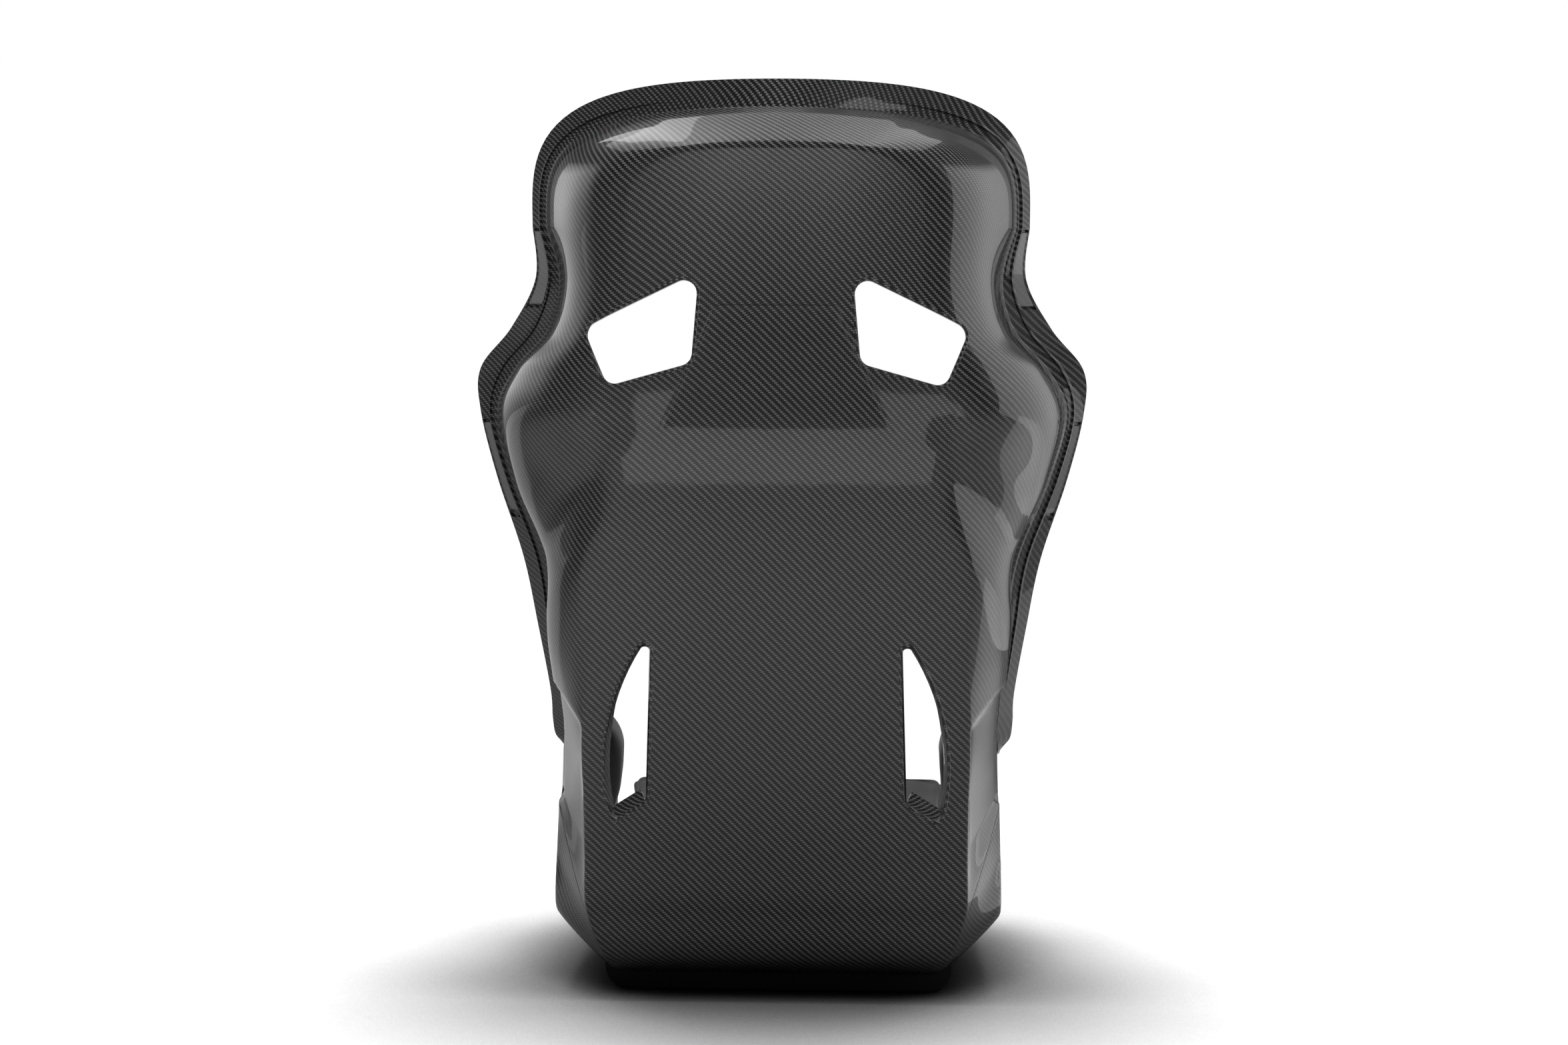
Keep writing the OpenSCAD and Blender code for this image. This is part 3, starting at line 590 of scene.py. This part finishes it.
def relief(t, q, p):
    """How far the outer face stands out at point p, in millimetres, and how plain it is left"""
    a = abs(q)
    x, z = abs(p.x), p.z
    out, plain = 0.0, 0.0
    if t > 10:
        # a groove at the root of the lip, a thin rib beside it, and long hollows sunk deeper at their ends
        on = smooth(10, 11, t) * (1 - smooth(18.3, 18.6, t))
        if 3.05 < a < 3.31:
            out -= GROOVE_DEEP * on
        if 3.31 < a < 3.37:
            out += RIB_HIGH * on
        for low, high in HOLLOWS:
            if low <= t <= high and 3.43 < a < 3.92:
                capped = t < low + 0.075 or t > high - 0.065
                out -= HOLLOW_END_DEEP if capped else HOLLOW_DEEP
                plain = 0.0 if capped else 0.8
    if 5.5 < t < 11.2 and 0.9 < a < 3:
        # plain recess in the side of the base, with a slanted face under it
        f = clamp((x - RECESS_X[0]) / (RECESS_X[1] - RECESS_X[0]))
        ridge, full, top = mix(*RIDGE_Z, f), mix(152, 199, f), mix(*RECESS_TOP_Z, f)
        deep = clamp((z - ridge) / max(full - ridge, 2)) * (1 - smooth(top - 5, top + 3, z))
        out -= RECESS_DEEP * deep * smooth(0.0, 0.25, f) * (1 - smooth(2.55, 2.75, a)) * smooth(32, 44, p.y)
    if 11 < t < 14.4 and 0.7 < a < 2.75:
        # valley between the shoulder and the waist, falling outwards
        f = clamp((x - VALLEY_X) / VALLEY_RUN)
        gap = z - (VALLEY_Z - 98 * f ** 1.25)
        fall = 1 - smooth(0, 66, gap) if gap > 0 else max(0, 1 + gap / 60)
        out -= VALLEY_DEEP * fall * smooth(0.0, 0.4, f)
    return out, plain


def shell_skins():
    """The outer and inner face of the shell, joined round the edge, with the cloth's run as its UV map"""
    bm = bmesh.new()
    place = bm.verts.layers.float_vector.new("place")
    cols = [-q for q in reversed(COL_Q[1:])] + COL_Q
    mid = len(COL_Q) - 1
    nr, nc = len(ROW_T), len(cols)
    sections = [section(t) for t in ROW_T]
    outer = [[on_shell(t, q, 0, s) for q in cols] for t, s in zip(ROW_T, sections)]
    # where the cloth lies: across from the centre line, and along each column from the waist up
    head_row = max(k for k, t in enumerate(ROW_T) if t <= HEAD)
    waist = min(range(nr), key=lambda k: abs(ROW_T[k] - 12))
    across = [[0.0] * nc for _ in range(nr)]
    for i in range(nr):
        for j in range(mid + 1, nc):
            across[i][j] = across[i][j - 1] + (outer[i][j] - outer[i][j - 1]).length
            across[i][2 * mid - j] = -across[i][j]
    up = [[0.0] * nc for _ in range(nr)]
    for j in range(nc):
        for i in range(waist + 1, head_row + 1):
            up[i][j] = up[i - 1][j] + (outer[i][j] - outer[i - 1][j]).length
        for i in range(waist - 1, -1, -1):
            up[i][j] = up[i + 1][j] - (outer[i + 1][j] - outer[i][j]).length
    for i in range(head_row + 1, nr):
        ang = (ROW_T[i] - HEAD) * math.pi / 2
        for j in range(nc):
            s = across[i][j]
            up[i][j] = up[head_row][j] + abs(s) * math.sin(ang)
            across[i][j] = s * math.cos(ang)
    for h in (0.0, SHELL_T):
        grid = bmesh.ops.create_grid(bm, x_segments=nc - 1, y_segments=nr - 1, size=1)
        ordered = sorted(grid["verts"], key=lambda v: (round(v.co.y, 6), round(v.co.x, 6)))
        for k, v in enumerate(ordered):
            i, j = divmod(k, nc)
            t, q = ROW_T[i], cols[j]
            out, plainness = relief(t, q, outer[i][j])
            if h > 0:
                out, plainness = min(0.0, out + GIVES_WAY), -1.0
            v.co = on_shell(t, q, h - out, sections[i]) * MM
            v[place] = (across[i][j] * MM, up[i][j] * MM, plainness)
    bmesh.ops.remove_doubles(bm, verts=bm.verts, dist=1e-7)
    bmesh.ops.bridge_loops(bm, edges=[e for e in bm.edges if e.is_boundary])
    bmesh.ops.recalc_face_normals(bm, faces=bm.faces)
    plain = bm.verts.layers.float.new("plain")
    uv = bm.loops.layers.uv.new("weave")
    for v in bm.verts:
        v[plain] = v[place].z
    for f in bm.faces:
        for loop in f.loops:
            loop[uv].uv = loop.vert[place].xy
    bm.verts.layers.float_vector.remove(place)
    return bm


CROTCH = on_shell(2.1, 0)
CROTCH_NEAR = on_shell(2.0, 0)
CROTCH_TILT = math.atan2(CROTCH_NEAR.z - CROTCH.z, CROTCH.y - CROTCH_NEAR.y)
CROTCH_HALF, CROTCH_R = 27, 13
BUSH_X, BUSH_Y, BUSH_Z, BUSH_HOLE_R = 222, (12, -278), 126, 10.3


def cutters():
    """What is cut from the skin: belt openings, bush holes and the crotch strap slot"""
    bm = bmesh.new()
    for side in (1, -1):
        for outline, y, length in ((shoulder_outline(), 150, 180), (lap_outline(), 60, 200)):
            grown = [p + out * OPENING_FACE for p, out in zip(outline, outwards(outline))]
            prism(bm, [Vector((side * p.x, y, p.y)) for p in grown], (0, length, 0))
        for y in BUSH_Y:
            hole = bmesh.ops.create_cone(bm, segments=48, radius1=BUSH_HOLE_R * MM, radius2=BUSH_HOLE_R * MM,
                                         depth=60 * MM, cap_ends=True)["verts"]
            bmesh.ops.rotate(bm, verts=hole, matrix=Matrix.Rotation(math.pi / 2, 3, "Y"))
            bmesh.ops.translate(bm, verts=hole, vec=Vector((side * BUSH_X, y, BUSH_Z)) * MM)
    angles = [math.radians(k) for k in range(-90, 91, 10)]
    ring = [Vector((CROTCH_HALF + CROTCH_R * math.cos(a), CROTCH_R * math.sin(a), -30)) for a in angles]
    ring += [Vector((-p.x, -p.y, p.z)) for p in ring]
    slot = prism(bm, ring, (0, 0, 60))
    bmesh.ops.transform(bm, matrix=Matrix.Translation(Vector((0, CROTCH.y, CROTCH.z)) * MM)
                        @ Matrix.Rotation(-CROTCH_TILT, 4, "X"), verts=slot)
    bmesh.ops.recalc_face_normals(bm, faces=bm.faces)
    return mesh_object("cutters", bm)


skins = shell_skins()
BACK = BVHTree.FromBMesh(skins)
shell = mesh_object("shell_skin", skins)
cutter = cutters()
cut = shell.modifiers.new("openings", "BOOLEAN")
cut.operation, cut.solver, cut.object = "DIFFERENCE", "MANIFOLD", cutter
shell = finished(shell, "shell_skin")
bpy.data.objects.remove(cutter)
shell.data.materials.clear()
shell.data.materials.append(CARBON)
shade(shell, 38)
part(shell, "carbon", "shell")


# ---- rolled edges of the openings ------------------------------------------------------------------
def back_face(x, z):
    """The Y of the shell's outer face behind a place in X and Z"""
    hit = BACK.ray_cast(Vector((x * MM, 1, z * MM)), Vector((0, -1, 0)))
    return hit[0].y / MM


def rolled_edge(name, outline, side, depth, lean):
    """A bead round an opening that turns inwards: depth(p) is how far in it reaches, lean(p) how far its
    inner end leans into the opening"""
    n = len(outline)
    away = outwards(outline)
    bm = bmesh.new()
    uv = bm.loops.layers.uv.new("weave")
    faces_y = [back_face(side * (p + a * 3).x, (p + a * 3).y) for p, a in zip(outline, away)]

    def station(k, out, y):
        p = outline[k] + away[k] * out
        return Vector((side * p.x, faces_y[k] + y, p.y)) * MM

    loops = [(3.4, -0.6), (3.0, 0.15), (2.2, 0.55), (1.2, 0.45), (0.4, -0.2), (0.0, -1.4)]
    verts = [bm.verts.new(station(k, *loops[0])) for k in range(n)]
    edges = [bm.edges.new((verts[k], verts[(k + 1) % n])) for k in range(n)]
    stations = [lambda k, o=o: station(k, *o) for o in loops[1:]]
    stations += [lambda k: station(k, -lean(outline[k]), -depth(outline[k])),
                 lambda k: station(k, 1.8 - lean(outline[k]), -depth(outline[k])),
                 lambda k: station(k, 3.4, -6.0)]
    for place in stations:
        out = bmesh.ops.extrude_edge_only(bm, edges=edges)["geom"]
        edges = [e for e in out if isinstance(e, bmesh.types.BMEdge) and e.is_boundary
                 and all(v in out for v in e.verts)]
        fresh = {v for v in out if isinstance(v, bmesh.types.BMVert)}
        verts = [next(e.other_vert(old) for e in old.link_edges if e.other_vert(old) in fresh)
                 for old in verts]
        for k, v in enumerate(verts):
            v.co = place(k)
    bmesh.ops.bridge_loops(bm, edges=[e for e in bm.edges if e.is_boundary])
    bmesh.ops.recalc_face_normals(bm, faces=bm.faces)
    for f in bm.faces:
        for loop in f.loops:
            co = loop.vert.co
            loop[uv].uv = (co.x - side * co.y * 0.3, co.z - 0.9 * co.y)
    part(shade(mesh_object(name, bm, CARBON_EDGE), 50), "carbon")


def sill(name, side):
    """The sloping foot of a lap opening, a strip that rises inwards"""
    low, high = Vector((128, 208.6)), Vector((160.8, 187.6))
    up = Vector((22.0, 34.6)).normalized()
    steps = ((-2.4, -1.2), (0.1, 1.2), (1.5, 5.0), (6.0, 12.0), (12.0, 20.0))
    bm = bmesh.new()
    grid = bmesh.ops.create_grid(bm, x_segments=14, y_segments=len(steps) - 1, size=0.5)["verts"]
    uv = bm.loops.layers.uv.new("weave")
    spot = {v: (v.co.x + 0.5, round((v.co.y + 0.5) * (len(steps) - 1))) for v in grid}
    for v, (f, k) in spot.items():
        rise, depth = steps[k]
        edge = low.lerp(high, f)
        p, under = edge + up * rise, edge - up * 3
        v.co = Vector((side * p.x, back_face(side * under.x, under.y) - depth, p.y)) * MM
    for f in bm.faces:
        for loop in f.loops:
            a, k = spot[loop.vert]
            loop[uv].uv = (a * 39 * MM, (k * 6 - a * 21) * MM)
    bmesh.ops.recalc_face_normals(bm, faces=bm.faces)
    strip = mesh_object(name, bm, CARBON_EDGE)
    if sum(f.normal.z for f in strip.data.polygons) < 0:
        strip.data.flip_normals()
    thick = strip.modifiers.new("wall", "SOLIDIFY")
    thick.thickness, thick.offset = 2.0 * MM, -1.0
    fine = strip.modifiers.new("fine", "SUBSURF")
    fine.levels = fine.render_levels = 1
    part(shade(finished(strip, name), 50), "carbon")


for side, word in ((1, "left"), (-1, "right")):
    rolled_edge("shoulder_edge_" + word, shoulder_outline(), side, lambda p: 7.0, lambda p: 0.0)
    rolled_edge("lap_edge_" + word, lap_outline(), side,
                lambda p: 7 + 13 * smooth(312, 250, p.y) * smooth(140, 150, p.x),
                lambda p: 1.6 + 1.2 * smooth(312, 280, p.y) * smooth(140, 150, p.x))
    sill("lap_sill_" + word, side)


# ---- cushions --------------------------------------------------------------------------------------
def spread(f):
    """From 0 to 1, crowded at both ends"""
    return (1 - math.cos(math.pi * f)) / 2


def wall_patch(t0, t1, q0, q1, gap):
    """A pad's place on the inside of the shell, its thickness square to the wall"""
    return lambda u, v, h: on_shell(mix(t0, t1, u), mix(q0, q1, v), SHELL_T + gap + h)


def level_patch(t0, t1, q0, q1, gap):
    """The same with its thickness straight up"""
    return lambda u, v, h: on_shell(mix(t0, t1, u), mix(q0, q1, v), SHELL_T + gap) + Vector((0, 0, h))


def head_patch(w, low, high, gap):
    """The flat place of the head cushion on the middle of the head"""
    return lambda u, v, h: (HEAD_MID + Vector(((v - 0.5) * w, 0, 0)) + mix(low, high, u) * UP_DIR
                            + (SHELL_T + gap + BOW / 2 + h) * WING_DIR)


CHANNELS = tuple(spread(k / 4) for k in (1, 2, 3))
PULL, FILL, PIPING_R = 0.05, 0.7, 1.5
SEAM_HOLD = 0.75


def pillow(name, place, thick, nu, nv, material, slot, channel=0.0, block=0.3, cap=6.0):
    """A padded piece sewn from a face and a back: a gridded block laid on place(u, v, h), inflated as cloth
    with its back, seam and channels held, then piped round the seam. Block is how much of its thickness it
    has at its edges, and cap how far a point may swell, in millimetres"""
    bm = bmesh.new()
    bmesh.ops.create_cube(bm, size=1)
    bmesh.ops.translate(bm, verts=bm.verts, vec=(0.5, 0.5, 0.5))
    for axis, cuts in ((0, nu - 1), (1, nv - 1), (2, 2)):
        lines = [e for e in bm.edges if abs((e.verts[0].co - e.verts[1].co)[axis]) > 1e-6]
        bmesh.ops.subdivide_edges(bm, edges=lines, cuts=cuts, use_grid_fill=True)
    uv = bm.loops.layers.uv.new("weave")
    size_u = (place(1, 0.5, 0) - place(0, 0.5, 0)).length * MM
    size_v = (place(0.5, 1, 0) - place(0.5, 0, 0)).length * MM
    for f in bm.faces:
        for loop in f.loops:
            a, b, c = loop.vert.co
            loop[uv].uv = ((b + (c - 1) * 0.1) * size_v, (a + (c - 1) * 0.1) * size_u)
    hold = bm.verts.layers.deform.verify()
    for v in bm.verts:
        a, b, c = v.co
        edge_a, edge_b = min(a, 1 - a), min(b, 1 - b)
        dome = max(0, 1 - abs(2 * a - 1) ** 3.2) * max(0, 1 - abs(2 * b - 1) ** 3.2)
        top = thick * (block + (1 - block) * dome ** 0.42)
        sewn = 0.0
        if channel:
            near = min(abs(a - k) * size_u / MM for k in CHANNELS)
            sewn = math.exp(-(near / 5.0) ** 2) * min(1, edge_b * 14)
        top -= channel * sewn * math.sqrt(dome)
        u = 0.5 + (a - 0.5) * (1 - PULL * math.sin(math.pi * b))
        w = 0.5 + (b - 0.5) * (1 - PULL * math.sin(math.pi * a))
        corner = 0.05 * (abs(2 * a - 1) * abs(2 * b - 1)) ** 9
        u -= math.copysign(corner, a - 0.5)
        w -= math.copysign(corner, b - 0.5)
        puff = 0.012 * math.sin(math.pi * c)
        u += puff * (a > 0.999) - puff * (a < 0.001)
        w += puff * (b > 0.999) - puff * (b < 0.001)
        rim = c > 0.999 and min(edge_a, edge_b) < 1e-4
        v[hold][0] = 1.0 if c < 0.001 else (SEAM_HOLD if rim else sewn if c > 0.999 else 0.2)
        v.co = place(u, w, top * c) * MM
    bmesh.ops.recalc_face_normals(bm, faces=bm.faces)
    obj = mesh_object(name, bm, material)
    obj.vertex_groups.new(name="held")
    seam = seam_order(obj.data)
    swell(obj, "held", cap * MM)
    seam_line = [obj.data.vertices[k].co.copy() for k in seam]
    sub = obj.modifiers.new("fine", "SUBSURF")
    sub.levels = sub.render_levels = 1
    obj = finished(obj, name + "_pad")
    obj.vertex_groups.clear()
    shade(obj, 70)
    part(obj, slot, name)
    part(piping(name + "_piping", seam_line), "suede")
    return obj


def swell(obj, held, cap):
    """Inflate a cushion as cloth, no point moving further than cap"""
    rest = [v.co.copy() for v in obj.data.vertices]
    cloth = obj.modifiers.new("cloth", "CLOTH")
    cs = cloth.settings
    cs.quality = 4
    cs.mass = 0.3
    cs.tension_stiffness = cs.compression_stiffness = 15
    cs.bending_stiffness = 0.5
    cs.use_pressure = True
    cs.uniform_pressure_force = 4
    cs.effector_weights.gravity = 0
    cs.vertex_group_mass = held
    cloth.collision_settings.use_collision = False
    cloth.point_cache.frame_start, cloth.point_cache.frame_end = 1, 20
    for f in range(1, 21):
        scene.frame_set(f)
    puffed = obj.evaluated_get(bpy.context.evaluated_depsgraph_get()).data
    moved = [v.co.copy() for v in puffed.vertices]
    obj.modifiers.remove(cloth)
    scene.frame_set(1)
    for v, a, b in zip(obj.data.vertices, rest, moved):
        d = b - a
        v.co = a + d * min(1, cap / max(d.length, 1e-9))


def seam_order(mesh):
    """The vertices of the seam between the face and the sides, in order round the piece"""
    links = {}
    seam = [v.index for v in mesh.vertices if any(abs(g.weight - SEAM_HOLD) < 1e-5 for g in v.groups)]
    inside = set(seam)
    for e in mesh.edges:
        a, b = e.vertices
        if a in inside and b in inside:
            links.setdefault(a, []).append(b)
            links.setdefault(b, []).append(a)
    order = [seam[0]]
    while True:
        step = [k for k in links[order[-1]] if k not in order]
        if not step:
            return order
        order.append(step[0])


def piping(name, line):
    """A closed round cord along a seam"""
    curve = bpy.data.curves.new(name, "CURVE")
    curve.dimensions = "3D"
    curve.bevel_depth = PIPING_R * MM
    curve.bevel_resolution = 2
    curve.use_fill_caps = True
    s = curve.splines.new("POLY")
    s.points.add(len(line) - 1)
    for p, co in zip(s.points, line):
        p.co = (*co, 1)
    s.use_cyclic_u = True
    obj = bpy.data.objects.new(name, curve)
    scene.collection.objects.link(obj)
    obj = finished(obj, name)
    obj.data.materials.clear()
    obj.data.materials.append(PIPING)
    return shade(obj, 60)


def mirrored(obj, name, slot, node=None):
    """The same piece on the other side; a padded one stands for its node"""
    mesh = obj.data.copy()
    bm = bmesh.new()
    bm.from_mesh(mesh)
    bmesh.ops.scale(bm, vec=(-1, 1, 1), verts=bm.verts)
    bmesh.ops.reverse_faces(bm, faces=bm.faces)
    bm.to_mesh(mesh)
    bm.free()
    twin = mesh_object(name, mesh)
    if node:
        part(twin, slot, node)
    else:
        part(twin, slot)


# room behind the pads: a hook strip, and on the thighs also the bond, the plate and the bush flanges
OVER_HOOKS, OVER_NUT_PLATE = 3, 8
OVER_PLATE = 2 + 5 + 3 + OVER_HOOKS
pillow("seat_cushion", wall_patch(2.55, 5.55, -0.98, 0.98, OVER_NUT_PLATE), 50, 48, 40,
       MESH_CLOTH, "mesh_cloth", channel=8)
pillow("knee_cushion", level_patch(0.12, 1.6, -1.24, 1.24, OVER_HOOKS), 95.5, 22, 48,
       SUEDE, "suede", block=0.74)
pillow("lumbar_cushion", wall_patch(7.3, 10.4, -0.58, 0.58, OVER_HOOKS), 34, 36, 36,
       MESH_CLOTH, "mesh_cloth", channel=7)
pillow("back_cushion", wall_patch(11.3, 14.35, -0.76, 0.76, OVER_HOOKS), 24, 48, 48,
       MESH_CLOTH, "mesh_cloth", channel=6)
pillow("head_cushion", head_patch(196, -34, 66, OVER_HOOKS), 26, 24, 40, SUEDE, "suede")
for word, *patch, thick, nu, nv in (
        ("thigh", 1.75, 4.7, 2.05, 2.7, OVER_PLATE, 22.5, 34, 14),
        ("hip", 5.6, 9.8, 2.3, 2.72, OVER_HOOKS, 53, 30, 12),
        ("rib", 10.2, 13.4, 1.8, 2.72, OVER_HOOKS, 22.5, 40, 16),
        ("shoulder", 13.8, 15.7, 1.75, 2.72, OVER_HOOKS, 22.5, 20, 16),
        ("head", HEAD - 0.6, HEAD + 0.36, 1.75, 2.72, OVER_HOOKS, 22.5, 26, 16)):
    left, right = word + "_bolster_left", word + "_bolster_right"
    pad = pillow(left, wall_patch(*patch), thick, nu, nv, SUEDE, "suede", cap=5)
    mirrored(pad, right + "_pad", "suede", right)
    mirrored(bpy.data.objects[left + "_piping"], right + "_piping", "suede")

# ---- pieces carried over from the CAD --------------------------------------------------------------
for node, material in (("foot_screws", ZINC), ("nut_plate", ALLOY), ("mount_plate_left", ALLOY),
                       ("mount_plate_right", ALLOY), ("bushes_left", ZINC), ("bushes_right", ZINC),
                       ("crotch_trim", PLASTIC), ("hook_strips", HOOKS), ("foot", FOOT_BLACK_AND_SHADE)):
    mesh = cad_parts[node].data
    mesh.materials.clear()
    mesh.materials.append(material)

# ---- floor, light and camera -----------------------------------------------------------------------
FLOOR_R = 14
ground = bmesh.new()
bmesh.ops.create_circle(ground, cap_ends=True, segments=64, radius=FLOOR_R)
n = Nodes("pale floor")
path = n.add("ShaderNodeLightPath").outputs
xyz = n.object_xyz()
out_from = n.add("ShaderNodeVectorMath", xyz, operation="LENGTH").outputs["Value"]
grain = n.ramp(n.noise(xyz, 60.0), 0.2, 0.8, 0.99, 1.01)
mirrored_in = n.plus(path["Is Glossy Ray"], path["Is Transmission Ray"])
# reflections show the same pale floor straight behind the seat, and dark floor towards its other sides
x, y, _ = n.split(xyz)
off_axis = n.math("DIVIDE", n.math("ABSOLUTE", x), n.math("MAXIMUM", n.times(y, -1.0), 0.01))
in_mirror = n.math("MAXIMUM", n.times(n.ramp(off_axis, 0.30, 0.12), n.ramp(y, -0.3, -0.6)),
                   n.times(n.ramp(x, 0.1, 0.3), n.ramp(y, -0.8, -1.3, 0.10, 0.45)))
seen = n.math("MULTIPLY_ADD", mirrored_in, in_mirror, path["Is Camera Ray"])
near = n.add("ShaderNodeAmbientOcclusion", samples=8)
near.inputs["Distance"].default_value = 1.2
shadow = n.math("POWER", near.outputs["AO"], 2.8)
tone = n.times(n.math("MULTIPLY_ADD", seen, 0.95, 0.35), n.times(grain, shadow))
n.set(Base_Color=n.add("ShaderNodeCombineColor", tone, tone, tone), Roughness=0.9, Specular_IOR_Level=0.0)
white = n.add("ShaderNodeEmission", (1, 1, 1, 1),
              n.math("MAXIMUM", seen, n.times(path["Is Diffuse Ray"], 0.3)))
blend = n.add("ShaderNodeMixShader", n.ramp(out_from, 0.8, 2.4), n.bsdf, white)
n.put(blend, n.tree.nodes["Material Output"].inputs["Surface"])
mesh_object("floor", ground, n.material)

world = bpy.data.worlds.new("studio")
scene.world = world
world.use_nodes = True
tree = world.node_tree
back = tree.nodes["Background"]
rays = tree.nodes.new("ShaderNodeLightPath").outputs
way = tree.nodes.new("ShaderNodeSeparateXYZ")
tree.links.new(tree.nodes.new("ShaderNodeTexCoord").outputs["Generated"], way.inputs[0])


def world_math(kind, a, b):
    """A math node of the world's own tree"""
    node = tree.nodes.new("ShaderNodeMath")
    node.operation = kind
    for k, v in enumerate((a, b)):
        if isinstance(v, float):
            node.inputs[k].default_value = v
        else:
            tree.links.new(v, node.inputs[k])
    return node.outputs[0]


# mirrored rays see white only in a narrow cone round -Y, past the sides of the seat
pale = tree.nodes.new("ShaderNodeMapRange")
pale.interpolation_type = "SMOOTHSTEP"
tree.links.new(way.outputs[1], pale.inputs["Value"])
for k, v in (("From Min", -0.96), ("From Max", -0.99), ("To Min", 0.04), ("To Max", 1.0)):
    pale.inputs[k].default_value = v
mirrored_in = world_math("ADD", rays["Is Glossy Ray"], rays["Is Transmission Ray"])
seen = world_math("MAXIMUM", rays["Is Camera Ray"], world_math("MULTIPLY", mirrored_in, pale.outputs[0]))
tree.links.new(world_math("MAXIMUM", seen, world_math("MULTIPLY", rays["Is Diffuse Ray"], 0.2)),
               back.inputs["Strength"])
back.inputs["Color"].default_value = (1, 1, 1, 1)


def softbox(name, place, target, width, height, radiance, fades=(), diffuse=False):
    """A rectangular lamp that lights surfaces or is only mirrored in them. A fade is an axis, the place
    and share of light where it starts, and the place and share where it ends"""
    lamp = bpy.data.lights.new(name, "AREA")
    lamp.shape = "RECTANGLE"
    lamp.size, lamp.size_y = width, height
    lamp.energy = radiance * math.pi * width * height
    lamp.use_nodes = True
    nodes, links = lamp.node_tree.nodes, lamp.node_tree.links
    if fades:
        spot = nodes.new("ShaderNodeSeparateXYZ")
        links.new(nodes.new("ShaderNodeNewGeometry").outputs["Position"], spot.inputs[0])
    last = None
    for axis, start, low, end, high in fades:
        fade = nodes.new("ShaderNodeMapRange")
        for k, v in enumerate((start, end, low, high)):
            fade.inputs[k + 1].default_value = v
        links.new(spot.outputs["XYZ".index(axis)], fade.inputs["Value"])
        both = nodes.new("ShaderNodeMath")
        both.operation = "MULTIPLY"
        both.inputs[0].default_value = 1.0
        if last:
            links.new(last, both.inputs[0])
        links.new(fade.outputs[0], both.inputs[1])
        last = both.outputs[0]
        links.new(last, nodes["Emission"].inputs["Strength"])
    obj = bpy.data.objects.new(name, lamp)
    obj.location = place
    obj.rotation_euler = (Vector(target) - Vector(place)).to_track_quat("-Z", "Y").to_euler()
    obj.visible_diffuse, obj.visible_glossy, obj.visible_camera = diffuse, not diffuse, False
    scene.collection.objects.link(obj)


softbox("overhead", (0, 0.3, 2.6), (0, 0.1, 0), 1.3, 1.3, 8.0, diffuse=True)
softbox("front_left", (1.3, -1.9, 1.3), (0, 0, 0.5), 1.3, 1.6, 1.6, diffuse=True)
softbox("front_right", (-1.3, -1.9, 1.3), (0, 0, 0.5), 1.3, 1.6, 1.6, diffuse=True)
softbox("back_fill", (0, 2.3, 2.1), (0, 0, 0.5), 1.6, 1.2, 11.0, diffuse=True)
softbox("mirrored_top", (0.25, -0.2, 2.6), (0.25, -0.2, 0), 2.3, 2.4, 0.8)
softbox("mirrored_high", (0.75, -1.9, 2.85), (0.1, 0, 0.85), 0.9, 2.1, 1.2)
softbox("mirrored_right", (-1.6, -0.9, 0.95), (0, -0.9, 0.95), 4.6, 1.9, 1.0,
        (("Y", -3.2, 0.1, 0.3, 1.25), ("Z", 1.9, 0, 1.6, 1)))
softbox("mirrored_right_floor", (-1.45, -1.35, 0.005), (-1.45, -1.35, 1), 2.0, 3.3, 1.0,
        (("Y", -1.5, 0.1, -0.2, 0.8),))
softbox("mirrored_left", (1.6, -1.1, 1.1), (0, -1.1, 1.1), 3.8, 1.5, 0.9,
        (("Y", 0.78, 0, 0.1, 1), ("Y", -2.9, 0, -2.2, 1), ("Z", 0.45, 0.12, 1.1, 1), ("Z", 1.85, 0, 1.5, 1)))
softbox("mirrored_low", (0.03, 1.626, 0.01), (0.03, 1.626, 1), 0.56, 0.416, 0.72)
softbox("mirrored_far", (0.12, 5.0, 0.01), (0.12, 5.0, 1), 0.9, 5.8, 0.85,
        (("X", -0.33, 0, -0.05, 1), ("X", 0.57, 0, 0.25, 1), ("Y", 2.1, 0, 3.6, 1.15)))

# the camera stands behind the seat, level with its middle, a little to the right and turned a little left
yaw, roll = math.radians(1.68), math.radians(0.4)
ahead = Vector((math.sin(yaw), -math.cos(yaw), 0))
right = Vector((-math.cos(yaw), -math.sin(yaw), 0))
up = Vector((0, 0, 1))
x_axis = right * math.cos(roll) + up * math.sin(roll)
y_axis = up * math.cos(roll) - right * math.sin(roll)
lens = bpy.data.cameras.new("camera")
lens.lens, lens.sensor_width, lens.sensor_fit = 50.0, 36.0, "HORIZONTAL"
camera = bpy.data.objects.new("camera", lens)
camera.matrix_world = Matrix.Translation((-0.069, 2.290, 0.483)) @ Matrix(
    (x_axis, y_axis, -ahead)).transposed().to_4x4()
scene.collection.objects.link(camera)
scene.camera = camera
scene.view_settings.view_transform = "Standard"

bpy.context.view_layer.update()
